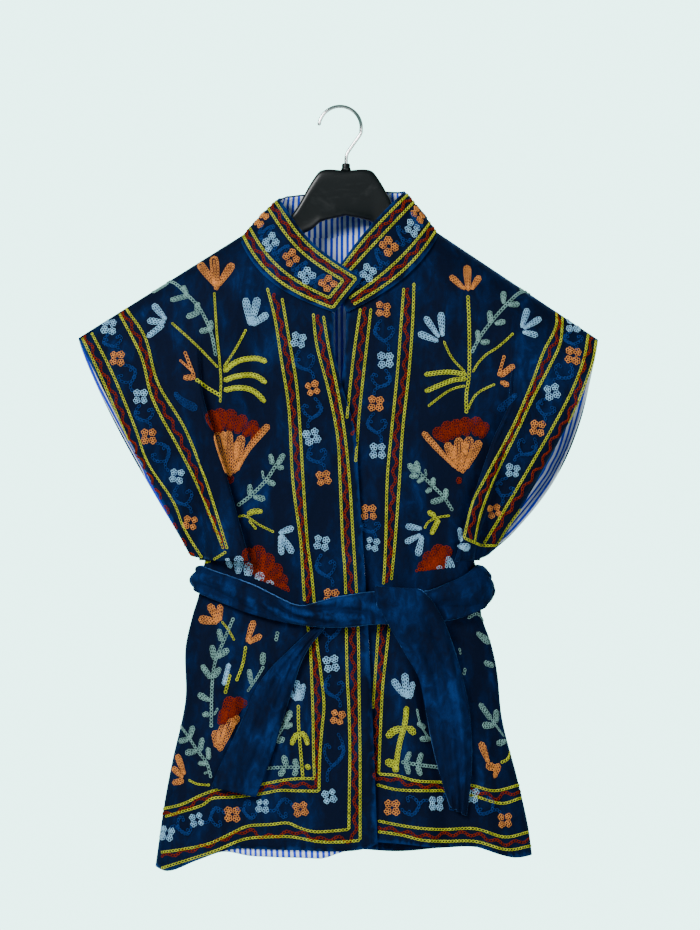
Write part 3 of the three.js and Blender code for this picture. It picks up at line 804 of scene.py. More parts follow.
def makeLinings():
    for node, places in shellPlaces.items():
        inner = inwardMoved(places, jacket["liningInside"])
        lower = np.clip((-inner[:, :, 2] - lining["hemStart"]) / lining["hemReach"], 0, 1)
        if node == "front_right":
            out = -inner[:, :, 0]
            hanging = smoothstep(out, -8, 24) * (1 - smoothstep(out, 100, 145))
            inner[:, :, 2] -= lining["hangs"] * hanging * lower
        if node == "back":  # short on the left, and up over the seam at the neck
            out = inner[:, :, 0]
            raised = smoothstep(out, -46, 12) * (1 - smoothstep(out, 130, 170))
            inner[:, :, 2] += lining["short"] * raised * lower
            upper = (1 - smoothstep(-inner[:, :, 2], 150, 185)) * (1 - smoothstep(np.abs(out), 96, 112))
            inner[:, :, 2] += lining["neckUp"] * upper
            inner[:, :, 1] -= lining["neckForward"] * upper
        missing = noRoom(node, inner)
        name = "lining" + nodeWords[node]
        shape = clothShape(inner, missing=missing, across=alongCuffs(inner) if node == "back" else None)
        piece = addPiece(name, shape, cottonPaint)
        thicken(piece, jacket["liningThick"])
        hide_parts("lining_" + node)


makeShells()
makeLinings()
print("jacket panels and linings are laid out")


def frontDepth(x, drop):
    # How far the outermost front lies before the hanger at a place across the whole jacket
    right = bodyDepth("right", "front", np.maximum(-x, read(sides["right"]["opening"], drop)), drop)
    left = bodyDepth("left", "front", np.maximum(x, read(sides["left"]["opening"], drop)), drop)
    return np.where(x < -read(sides["right"]["opening"], drop), right, left)


# The stand collar, as columns from its right end round the back to its left end

collar = dict(
    lift=1.4, thick=1.7, liningInside=2.1, liningThick=0.9, steps=150, rows=16, roll=1.6,
    # How far the front pieces bow, at the foot and the top
    clear=3.4, bow={"right": (20, 9), "left": (14, -1)},
)
collarLean = [  # place, across, deep, rise
    (-1, 33, -6, 41), (-0.75, 35, -3, 44), (-0.5, 43, 0, 46), (-0.3, 26, -6, 54), (0, 0, -6, 58),
    (0.3, -24, -6, 55), (0.5, -36, 0, 48), (0.75, -34, -3, 45), (1, -17, 0, 44),
]


def neckPoint(place):
    name = "right" if place < 0 else "left"
    face = "front" if abs(place) > 0.5 else "back"
    side = sides[name]
    away = abs(place)
    startOut = side["opening"][0][1]
    out = lerp(side["neckOut"], startOut, (away - 0.5) * 2) if face == "front" else side["neckOut"] * away * 2
    drop = float(topDrop(side, face, out))
    depth = float(bodyDepth(name, face, out, drop))
    return np.array([side["sign"] * out, (-1 if face == "front" else 1) * depth, -drop])


def collarPoint(place, share, inside=0.0):
    lean = np.array([read(collarLean, place, column) for column in (1, 2, 3)], float)
    base = neckPoint(place)
    along = neckPoint(min(1, place + 0.01)) - neckPoint(max(-1, place - 0.01))
    normal = np.cross(along, lean)
    normal /= np.linalg.norm(normal)
    if normal @ np.array([base[0], base[1], 0]) < 0:
        normal = -normal
    start = collar["lift"] / np.linalg.norm(lean)
    here = base + lean * lerp(start, 1, share)
    name = "right" if place < 0 else "left"
    down = (abs(place) - 0.46) / 0.54
    if down > 0:
        foot, top = collar["bow"][name]
        bow = lerp(foot, top, share**0.8) * math.sin(math.pi * down**0.8)
        heading = np.array([along[0], along[2]]) / math.hypot(along[0], along[2])
        across = np.array([heading[1], -heading[0]])
        across *= -np.sign(across[1])  # down and away from the neck
        here[0] += bow * across[0]
        here[2] += bow * across[1]
        front = float(frontDepth(here[0], -here[2])) + collar["clear"]
        held = smoothstep(down, 0, 0.25) * (1 - smoothstep(share, 0.5, 1.0))
        here[1] = lerp(here[1], min(here[1], -front), float(held))
    crown = collar["roll"] * math.sin(math.pi * share)
    return here + normal * (crown - inside)


def makeCollar():
    spots = np.linspace(-1, 1, collar["steps"] + 1)
    shares = np.linspace(1, 0, collar["rows"] + 1)
    outer = np.array([[collarPoint(place, share) for place in spots] for share in shares])
    # Painted highlight along all four edges of the collar
    edge = edgeHighlight(outer, 5, 5, 5, np.ones(len(spots), bool))
    edge = np.maximum(edge, edgeHighlight(outer[::-1], 0, 0, 5, np.ones(len(spots), bool))[::-1])
    shape = clothShape(outer, edge=edge)
    keepSurface("collar", shape)
    piece = addPiece("velvetCollar", shape, velvetPaint)
    thicken(piece, collar["thick"])
    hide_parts("collar")
    spots = np.linspace(-0.985, 0.985, collar["steps"] + 1)
    shares = np.linspace(0.97, 0.05, collar["rows"] + 1)
    inner = np.array([
        [collarPoint(place, share, collar["liningInside"]) for place in spots] for share in shares
    ])
    along = arcLengths(inner, 1)
    fromBack = along[:, collar["steps"] // 2][:, None] - along
    inside = addPiece("liningCollar", clothShape(inner, across=fromBack), cottonPaint)
    thicken(inside, collar["liningThick"])
    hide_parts("lining_collar")
    return outer


collarFace = makeCollar()

print("collar stands")


# The sash: a crushed band round the waist and two hanging ends, the left one over the band's top

band = dict(
    start=18, end=-343, steps=330, across=34, thick=3.0, clear=3.6, puff=3.5,
    path=[  # turn, top, bottom, extra lift
        (-180, 541, 579, 0), (-90, 535, 565, 0), (-70, 537, 568, 0), (-48, 545, 578, 0), (-31, 556, 590, 0),
        (-18.4, 571, 598.5, 1.5), (-9.8, 580.5, 603, 3.5), (-3.8, 575, 606, 5), (1, 568.5, 606, 5),
        (7.6, 564.5, 603, 4), (28.7, 564, 601, 0), (42, 554, 599, 0), (70, 537, 588, 0), (90, 534, 583, 0),
        (180, 541, 579, 0),
    ],
)


def aroundBody(turn, drop, lift):
    angle = np.radians(turn)
    front = np.abs(turn) < 90
    width = np.where(turn < 0, sideOut(sides["right"], drop), sideOut(sides["left"], drop)) + lift
    deep = np.where(front, read(fullness, drop, 1), read(fullness, drop, 2)) + lift
    out = width * np.abs(np.sin(angle)) ** (2 / jacket["sidePower"])
    depth = deep * np.abs(np.cos(angle)) ** (2 / jacket["sidePower"])
    return np.stack([np.where(turn < 0, -out, out), np.where(front, -depth, depth), -drop], axis=-1)


def bandRidges(turn, along, across):
    # Rounded ridges with sharp valleys that wander along the band, and cross it where it is twisted by
    # the knot
    wander = 0.25 * np.sin(along / 61) + 0.12 * np.sin(along / 23 + 1.0)
    wide = np.abs(np.sin(np.pi * (0.80 * across + 0.30 + wander + along / 620)))
    fine = np.abs(np.sin(np.pi * (1.7 * across + 0.10 - 1.6 * wander - along / 300)))
    twisted = np.abs(np.sin(np.pi * (0.95 * across + 0.2 - turn / 14)))
    near = np.exp(-(((turn + 6) / 17) ** 2))
    plain = 4.6 * wide**0.8 + 1.3 * fine**0.8 * (0.5 + 0.5 * np.sin(along / 47))
    return lerp(plain, 7.0 * twisted**0.7 + 0.8 * fine, near)


def makeBand():
    turns = np.linspace(band["start"], band["end"], band["steps"] + 1)[None, :]
    around = np.where(turns < -180, turns + 360, turns)
    q = np.linspace(-1, 1, band["across"] + 1)[:, None]
    top = read(band["path"], around, 1)
    bottom = read(band["path"], around, 2)
    extra = read(band["path"], around, 3)
    along = np.abs(turns) * 2.6
    edge = rounded(q, 3.0)
    crest = bandRidges(around, along, q)
    lift = band["clear"] + extra + band["puff"] * edge + crest * edge
    sag = 1.5 * np.sin(along / 37) * (1 - q * q)
    drop = lerp(top, bottom, (q + 1) / 2) + sag
    places = aroundBody(around + 0 * q, drop, lift)
    under = np.zeros(drop.shape)
    for aside in (-9, 0, 9):
        under = np.maximum(under, frontDepth(places[:, :, 0] + aside, drop))
    inFront = places[:, :, 1] < -12
    places[:, :, 1] = np.where(inFront, np.minimum(places[:, :, 1], -under - lift), places[:, :, 1])
    rubbed = crest / 7 - 0.55  # painted highlight on the crests and painted shade in the valleys
    # The crest weight goes in as the edge attribute: painted highlight and painted shade across the band
    piece = addPiece("sashBand", clothShape(places, edge=rubbed), sashPaint)
    thicken(piece, band["thick"])
    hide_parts("belt_band")
    return places


tails = {
    "left": dict(
        node="belt_tail_left", thick=3.0, across=26, steps=110,
        # share of the way, left edge x and drop, right edge x and drop, lift off the front
        path=[
            (0.00, 50, 580, 86, 590, 3.0), (0.03, 47, 569, 86, 578, 8.0), (0.06, 44, 560, 87, 566, 15.0),
            (0.09, 41, 558, 90, 561, 20.0), (0.13, 40, 563, 97, 564, 22.5), (0.19, 43, 578, 107, 575, 22.0),
            (0.27, 55, 601, 119, 595, 18.0), (0.38, 74, 634, 130, 622, 13), (0.50, 91, 664, 140, 655, 10),
            (0.62, 99, 700, 149, 694, 9),
            (0.80, 110, 752, 153.3, 744, 8), (0.92, 121, 795, 151.5, 786, 7.5), (1.00, 127, 813, 147, 824, 7),
        ],
        ridges=[(-0.6, 4.2, 0.20), (0.02, 5.0, 0.24), (0.62, 4.4, 0.19)],
    ),
    "right": dict(
        node="belt_tail_right", thick=3.0, across=22, steps=100,
        path=[
            (0.00, -28, 603, -4, 592, 4.0), (0.10, -43, 617, -20, 610, 6.5), (0.22, -62, 635, -34, 627, 8),
            (0.36, -82, 655, -45, 648, 7), (0.50, -98, 678, -53, 672, 6.5), (0.65, -113, 712, -64, 706, 6.5),
            (0.80, -130, 747, -75, 743, 7), (0.92, -143, 775, -87, 777, 7), (1.00, -149, 791, -97, 802, 7),
        ],
        ridges=[(-0.5, 3.4, 0.24), (0.15, 4.6, 0.20), (0.72, 3.6, 0.18)],
    ),
}


def makeTail(name):
    tail = tails[name]
    t = np.linspace(0, 1, tail["steps"] + 1)[:, None]
    q = np.linspace(-1, 1, tail["across"] + 1)[None, :]
    leftX, leftDrop, rightX, rightDrop, lift = (read(tail["path"], t, column) for column in range(1, 6))
    share = (q + 1) / 2
    x = lerp(leftX, rightX, share)
    drop = lerp(leftDrop, rightDrop, share)
    under = np.zeros(x.shape)
    for aside in (-14, -7, 0, 7, 14):  # lies on the highest of what is near it
        under = np.maximum(under, frontDepth(x + aside, np.maximum(drop, 540)))
    waves = np.zeros(x.shape)
    for place, high, width in tail["ridges"]:
        waves += high * np.exp(-(((q - place - 0.12 * np.sin(4.5 * t + place)) / width) ** 2))
    fullness3 = 0.35 + 0.65 * smoothstep(t, 0.02, 0.5)
    curl = 2.2 * np.abs(q) ** 6
    depth = under + lift + waves * fullness3 - curl + 0.8 * np.sin(9 * t + 3 * q)
    places = np.stack([x, -depth, -drop], axis=-1)
    piece = addPiece("sashEnd" + name.title(), clothShape(places), sashPaint)
    thicken(piece, tail["thick"])
    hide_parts(*([tail["node"], "belt_knot"] if name == "left" else [tail["node"]]))


makeBand()
makeTail("left")
makeTail("right")
print("sash is tied")


# The hanger: a moulded body, a nut and a bent wire hook

hanger = dict(
    centre=7, wire=2.0, radius=24.8, sectionPoints=40, steps=150,
    nutTop=64.8,
    sections=[  # out, top, bottom, thickness
        (0, 73, 126, 14), (29, 73, 133, 14), (40, 86, 142, 15), (62, 123, 153, 18),
        (100, 155, 183, 21), (160, 192, 218, 25), (212, 227, 250, 24),
    ],
)


def tube(name, centres, rings, material):
    # A closed form through rings of points, the ends drawn to their centres
    rows = np.concatenate([
        np.repeat(centres[:1, None], rings.shape[1], axis=1),
        rings,
        np.repeat(centres[-1:, None], rings.shape[1], axis=1),
    ])
    rows = np.concatenate([rows, rows[:, :1]], axis=1)
    return addPiece(name, clothShape(rows, closed=True), material)


def makeHangerBody():
    reach = hanger["sections"][-1][0]
    out = np.linspace(-1, 1, hanger["steps"] + 1)
    out = np.sign(out) * np.abs(out) ** 1.15 * reach
    top, bottom, thick = (read(hanger["sections"], np.abs(out), column) for column in (1, 2, 3))
    ends = rounded(np.clip((np.abs(out) - reach + 9) / 9, 0, 0.999), 2)
    turn = np.linspace(0, 2 * np.pi, hanger["sectionPoints"], endpoint=False)[None, :]
    tall = ((bottom - top) / 2 * ends)[:, None] * np.sign(np.sin(turn)) * np.abs(np.sin(turn)) ** 0.42
    wide = (thick / 2 * ends)[:, None] * np.sign(np.cos(turn)) * np.abs(np.cos(turn)) ** 0.62
    middle = -(top + bottom)[:, None] / 2
    x = (hanger["centre"] + out)[:, None] + 0 * turn
    rings = np.stack([x, wide, middle + tall], axis=-1)
    centres = np.stack([hanger["centre"] + out, 0 * out, middle[:, 0]], axis=-1)
    piece = tube("hangerBody", centres, rings, plasticPaint)
    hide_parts("hanger_body")


def makeNut():
    profile = [(0, 3.6), (0.6, 4.4), (1.4, 4.9), (5.2, 4.9), (6.0, 5.6), (8.0, 5.9)]
    turn = np.linspace(0, 2 * np.pi, 32, endpoint=False)
    middle, top = hanger["centre"], -hanger["nutTop"]
    rings = np.array([
        [(middle + radius * math.cos(a), radius * math.sin(a), top - down) for a in turn]
        for down, radius in profile
    ])
    centres = np.array([(hanger["centre"], 0, -hanger["nutTop"] - down) for down, radius in profile])
    piece = tube("hangerNut", centres, rings, plasticPaint)
    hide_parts("hanger_nut")


def smoothPath(points, perSpan):
    # A Catmull-Rom curve through points
    points = np.array(points, float)
    padded = np.concatenate([[2 * points[0] - points[1]], points, [2 * points[-1] - points[-2]]])
    t = np.linspace(0, 1, perSpan, endpoint=False)[:, None]
    spans = []
    for a, b, c, d in zip(padded, padded[1:], padded[2:], padded[3:]):
        square, cube = 2 * a - 5 * b + 4 * c - d, 3 * b - a - 3 * c + d
        spans.append(0.5 * (2 * b + (c - a) * t + square * t**2 + cube * t**3))
    return np.concatenate(spans + [points[-1:]])


def makeHook():
    wire, radius = hanger["wire"], hanger["radius"]
    points = []
    for degrees in range(175, -21, -13):
        angle = math.radians(degrees)
        points.append((radius * math.cos(angle), 0, radius * math.sin(angle) - (radius - wire)))
    points += [(13, 0, -46), (hanger["centre"] + 0.8, 0, -55), (hanger["centre"], 0, -hanger["nutTop"] - 1.5)]
    line = smoothPath(points, 7)
    forward = np.gradient(line, axis=0)
    forward /= np.linalg.norm(forward, axis=1, keepdims=True)
    sideways = np.array([0.0, 1.0, 0.0])
    upwards = np.cross(forward, sideways)
    gone = np.linalg.norm(line - line[0], axis=1)
    tip = np.sqrt(np.clip(1 - (1 - np.clip(gone / wire, 0, 1)) ** 2, 0.0004, 1))
    turn = np.linspace(0, 2 * np.pi, 20, endpoint=False)
    rings = line[:, None] + (wire * tip)[:, None, None] * (
        np.cos(turn)[None, :, None] * sideways + np.sin(turn)[None, :, None] * upwards[:, None]
    )
    piece = tube("hangerHook", line, rings, chromePaint)
    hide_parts("hanger_hook")


makeHangerBody()
makeNut()
makeHook()
print("hanger is moulded")


# Embroidery: chain stitches in thick thread. Each is a bent loop that starts inside the one before it.

stitch = dict(
    pitch=4.1, row=3.2, overlap=1.34, thread=0.135, tilt=0.12, lift=0.5, sample=1.3, jump=7.0,
    lineWidth=3.8, zigzagWidth=4.1, zigzagWave=21, zigzagSwing=2.5, vineWidth=4.2, vinePitch=4.2,
    petalRing=3.1, petalReach=6.1, petalWidth=4.3, petalPitch=3.9, taperFrom=7.5, taper=0.55,
    slimmer={"sky": 0.84, "orange": 0.92}, footReach=0.30, tipReach=0.10, scallopReach=0.7,
)
threadColours = dict(
    lime=(0.56, 0.60, 0.028, 1), rust=(0.245, 0.019, 0.0012, 1), orange=(0.77, 0.285, 0.062, 1),
    sky=(0.31, 0.60, 1.00, 1), sage=(0.22, 0.40, 0.37, 1), deepBlue=(0.0080, 0.041, 0.175, 1),
)

# Strokes: thread, width and the places they run through, as millimetres across and below the nail.
# The places of the plants, the borders and the flowers were read off the photo.
rightPlants = [
    ("lime", 4.5, [(-140.2, 346.6), (-139.3, 312.3), (-144.1, 264.5), (-147.1, 213.8)]),
    ("orange", 10.7, [(-145.3, 207.8), (-165, 181.5)]),
    ("orange", 11.9, [(-144.1, 212.3), (-147.7, 173.8)]),
    ("orange", 10.7, [(-142.3, 207.8), (-125.3, 182.1)]),
    ("lime", 4.5, [(-137.2, 304.8), (-122.3, 282.4), (-108.9, 257.1)]),
    ("sky", 10.7, [(-105.3, 254.1), (-110.7, 222.1)]),
    ("sky", 11.3, [(-103.5, 254.1), (-96.3, 221.5)]),
    ("sky", 10.7, [(-102.9, 254.1), (-84.1, 240.6)]),
    ("lime", 6.3, [(-137.2, 309.3), (-119.3, 295.9), (-96.9, 292.9), (-84.4, 297.9)]),
    ("lime", 6.3, [(-137.2, 319.7), (-120.8, 313.8), (-99.9, 312.9), (-85, 322.7)]),
    ("lime", 6.3, [(-137.2, 330.8), (-119.3, 327.2), (-101.4, 330.8), (-86.5, 345.1)]),
    ("lime", 5, [(-141.3, 305.2), (-168.5, 277), (-198.5, 249.9)]),
    ("sky", 10.1, [(-203.4, 247.9), (-218.9, 229.5)]),
    ("sky", 10.1, [(-204.3, 250.8), (-225.7, 248.9)]),
    ("sky", 7, [(-207.3, 253.7), (-225.7, 268.3)]),
    ("sage", 3.9, [(-145.3, 289.9), (-151.3, 261.5), (-164.1, 234.7), (-180.5, 216.8), (-193.9, 204.8),
        (-210.4, 202.4)]),
    ("sage", 7, [(-152, 260.5), (-151, 247.9)]),
    ("sage", 7, [(-153.9, 259.6), (-165, 261.5)]),
    ("sage", 7, [(-165.5, 239.2), (-180.1, 245)]),
    ("sage", 7, [(-167.5, 236.3), (-166.1, 226.6)]),
    ("sage", 6.6, [(-177.5, 219.7), (-199, 225.1)]),
    ("sage", 6, [(-179, 218.3), (-184.1, 207.2)]),
    ("sage", 6, [(-201.4, 204.8), (-219.9, 216.2)]),
    ("sage", 6, [(-204.4, 203.6), (-203.8, 197.4)]),
    ("sage", 6, [(-210.4, 202.4), (-225.3, 204.8)]),
    ("orange", 3.9, [(-170.8, 312.9), (-181.6, 285.2)]),
    ("orange", 5.4, [(-172.7, 308.1), (-188.8, 293.5)]),
    ("orange", 7, [(-170, 314.9), (-183.6, 315.8)]),
    ("lime", 4.3, [(-140.3, 336.2), (-154.9, 327.5), (-168.5, 317.4)]),
    ("deepBlue", 10.1, [(-194.6, 330.4), (-185.9, 342), (-166.5, 352.7)]),
    ("rust", 14.4, [(-145.2, 375), (-152.5, 353.1)]),
    ("rust", 13.6, [(-140.3, 372.1), (-140.3, 350.7)]),
    ("rust", 13.6, [(-128.7, 371.1), (-127.3, 351.7)]),
    ("rust", 12, [(-119, 375), (-111.8, 358.5)]),
    ("rust", 11.6, [(-109.3, 379.8), (-97.1, 366.3)]),
    ("rust", 8.5, [(-105.4, 389.5), (-92.8, 374)]),
    ("orange", 12.4, [(-132.6, 426.4), (-144.2, 379.8)]),
    ("orange", 11.3, [(-128.7, 430.3), (-130.6, 377.9)]),
    ("orange", 12, [(-123.8, 426.4), (-115.1, 383.7)]),
    ("orange", 8.9, [(-120.9, 424.5), (-106.4, 397.3), (-83.1, 370.5)]),
    ("orange", 7.8, [(-135.5, 399.2), (-136.4, 377.9)]),
    ("orange", 7.8, [(-121.9, 410.9), (-120.9, 389.5)]),
    ("rust", 8.9, [(-128.7, 440), (-127.3, 430.3)]),
    ("sage", 4.3, [(-120, 465.2), (-104.4, 453.6), (-87, 436.1), (-75.3, 418.6), (-71.1, 412.8)]),
    ("sage", 6.2, [(-79.2, 416.7), (-81.5, 404.1)]),
    ("sage", 7, [(-72.4, 415.7), (-65.2, 404.1)]),
    ("sage", 6.6, [(-73.4, 419.6), (-65.2, 421.6)]),
    ("sage", 5.4, [(-89.3, 435.1), (-91.2, 422.5)]),
    ("sage", 7, [(-85, 437.1), (-74.9, 440.4)]),
    ("sage", 6.6, [(-105.4, 452.6), (-105.4, 439.6)]),
    ("sage", 7.8, [(-101.5, 454.5), (-87.4, 457.8)]),
    ("lime", 5, [(-123.8, 478.8), (-110.3, 476.8), (-96.7, 486.5), (-75.3, 497.2)]),
    ("lime", 6.6, [(-109.3, 476.8), (-101.5, 472), (-89.3, 472)]),
    ("lime", 5.4, [(-107.9, 480.7), (-96.3, 494.7)]),
    ("sky", 9.7, [(-71.5, 497.2), (-54, 490.8)]),
    ("sky", 10.1, [(-69.5, 498.2), (-55, 521.1)]),
    ("sky", 8.9, [(-70.5, 500.1), (-68, 523.4)]),
    ("rust", 14.8, [(-104.1, 537.5), (-108.3, 514.1)]),
    ("rust", 15.3, [(-95.5, 542.4), (-95.5, 510.9)]),
    ("rust", 14.8, [(-90.6, 544.8), (-81.2, 520.7)]),
    ("rust", 14.8, [(-86.9, 552.2), (-68.4, 534.5)]),
    ("rust", 14.8, [(-83.2, 558.4), (-61, 549.3)]),
    ("rust", 13.8, [(-78.2, 565.8), (-58.5, 563.3)]),
    ("sky", 14.5, [(-119.1, 543.4), (-118.1, 524.6)]),
    ("sky", 14.5, [(-107.8, 548.4), (-106.6, 532.5)]),
    ("sky", 14.5, [(-96.2, 555), (-92.2, 544.8)]),
    ("sky", 13.5, [(-85.6, 563.4), (-80.7, 554.4)]),
    ("sky", 12.8, [(-72, 571.8), (-66.1, 565.2)]),
    ("sky", 6.4, [(-132.4, 527.6), (-127, 538.7)]),
    ("orange", 9.8, [(-141.8, 601.5), (-152.9, 580.5)]),
    ("orange", 8.4, [(-140.3, 600.2), (-140.3, 580.5)]),
    ("orange", 11.3, [(-143.5, 601.5), (-164.9, 597.8)]),
    ("lime", 4.7, [(-139.8, 599), (-130, 611.3), (-122.6, 624.9)]),
    ("orange", 8.9, [(-109, 624.9), (-100.4, 599.5)]),
    ("orange", 8.4, [(-107.3, 626.1), (-91.5, 616.7)]),
    ("lime", 3, [(-110.3, 629.8), (-113.9, 650.7), (-121.3, 670.4)]),
    ("sage", 3.9, [(-124.5, 596.5), (-134.9, 621.2), (-146, 648.3), (-149.7, 677.8), (-150.6, 724.6)]),
    ("sage", 6.6, [(-139.1, 623.1), (-141.8, 608.9)]),
    ("sage", 7.4, [(-146.7, 644.6), (-150.1, 628.1)]),
    ("sage", 8.1, [(-143.5, 643.3), (-130, 633)]),
    ("sage", 6.9, [(-151.6, 666.7), (-162, 651.2)]),
    ("sage", 6.9, [(-146.7, 665.5), (-139.8, 654.4)]),
    ("sage", 8.1, [(-152.1, 693.8), (-166.2, 685.7)]),
    ("sage", 5.4, [(-147.7, 711), (-141.8, 700.5)]),
    ("sage", 6.9, [(-153.3, 709.8), (-161.5, 709.3)]),
    ("sky", 5.9, [(-136.1, 675.3), (-129.5, 648.8)]),
    ("lime", 3.9, [(-134.4, 685.2), (-128.7, 663)]),
    ("lime", 4.9, [(-126.3, 679), (-131.9, 675.3)]),
    ("rust", 12.8, [(-134.4, 714.7), (-127, 688.1)]),
    ("rust", 12.8, [(-125, 709.8), (-115.7, 688.9)]),
    ("rust", 10.8, [(-141.8, 723.4), (-134.4, 702.4)]),
    ("rust", 9.8, [(-116.4, 702.4), (-110.3, 693.8)]),
    ("orange", 12.3, [(-141, 751.7), (-125, 714.7)]),
    ("orange", 10.8, [(-144.2, 748), (-146, 728.3)]),
    ("orange", 10.8, [(-141.8, 741.8), (-136.1, 722.1)]),
    ("orange", 9.8, [(-127.5, 724.6), (-118.9, 711)]),
    ("sage", 3.4, [(-89.3, 653.2), (-97.9, 668), (-107.8, 682.7)]),
    ("sage", 6.9, [(-90.6, 650.7), (-89.8, 636.4)]),
    ("sage", 6.6, [(-103.6, 672.9), (-106.3, 656.1)]),
    ("sage", 4.2, [(-75, 623.6), (-72.8, 612.8)]),
    ("sky", 7.9, [(-50.7, 693.8), (-60.5, 679.8)]),
    ("sky", 8.9, [(-48.7, 693.8), (-50.7, 669.2)]),
    ("sky", 6.9, [(-46.2, 692.6), (-42.5, 673.4)]),
    ("lime", 3.7, [(-48.7, 698.7), (-48.2, 727.1), (-43.3, 784.9)]),
    ("lime", 6.2, [(-47.5, 730), (-40.8, 734.9), (-37.4, 746.8)]),
    ("lime", 6.2, [(-48.7, 730), (-54.1, 738.1), (-57.1, 746.8)]),
    ("lime", 6.4, [(-41.8, 768.9), (-33.4, 773.3)]),
    ("sage", 3.4, [(-78.2, 744.3), (-68.4, 727.1), (-56.6, 709.8)]),
    ("sage", 6.9, [(-64, 717.7), (-57.1, 704.4)]),
    ("sage", 5.9, [(-69.9, 722.1), (-72.3, 707.4)]),
    ("sage", 6.4, [(-64.7, 725.1), (-55.1, 720.2)]),
    ("sage", 8.4, [(-74.6, 741.8), (-64.7, 737.4)]),
    ("sage", 3.9, [(-86.9, 772.6), (-65.9, 771.4), (-47.5, 771.4)]),
    ("sage", 7.4, [(-62.7, 769.4), (-66.4, 757.1)]),
    ("sage", 6.9, [(-50.7, 770.1), (-53.6, 761)]),
    ("sage", 8.1, [(-64.7, 773.3), (-71.3, 781.7)]),
    ("sage", 7.9, [(-50.7, 773.3), (-54.1, 781.7)]),
    ("sage", 3.7, [(-187.1, 722.1), (-178, 734.4), (-166.9, 751.7), (-155.8, 766.5), (-150.9, 783.7)]),
    ("sage", 7.6, [(-175.5, 737.4), (-171.8, 722.6)]),
    ("sage", 6.9, [(-178, 738.9), (-189.1, 741.3)]),
    ("sage", 6.6, [(-163.7, 752.2), (-160.7, 736.4)]),
    ("sage", 8.4, [(-167.4, 752.7), (-181.2, 754.6)]),
    ("sage", 5.9, [(-153.3, 762), (-154.6, 747.2)]),
    ("sage", 5.9, [(-156.5, 766.9), (-166.9, 766.9)]),
    ("sage", 4.9, [(-152.1, 776.3), (-160.7, 779.3)]),
    ("orange", 8.9, [(-181.7, 780), (-190.5, 756.6)]),
    ("orange", 8.4, [(-183.6, 783.7), (-195.9, 771.4)]),
    ("orange", 7.4, [(-183.6, 787.4), (-196.4, 789.8)]),
    ("lime", 5.2, [(-179.2, 784.9), (-166.9, 791.1), (-149.7, 792.3)]),
]
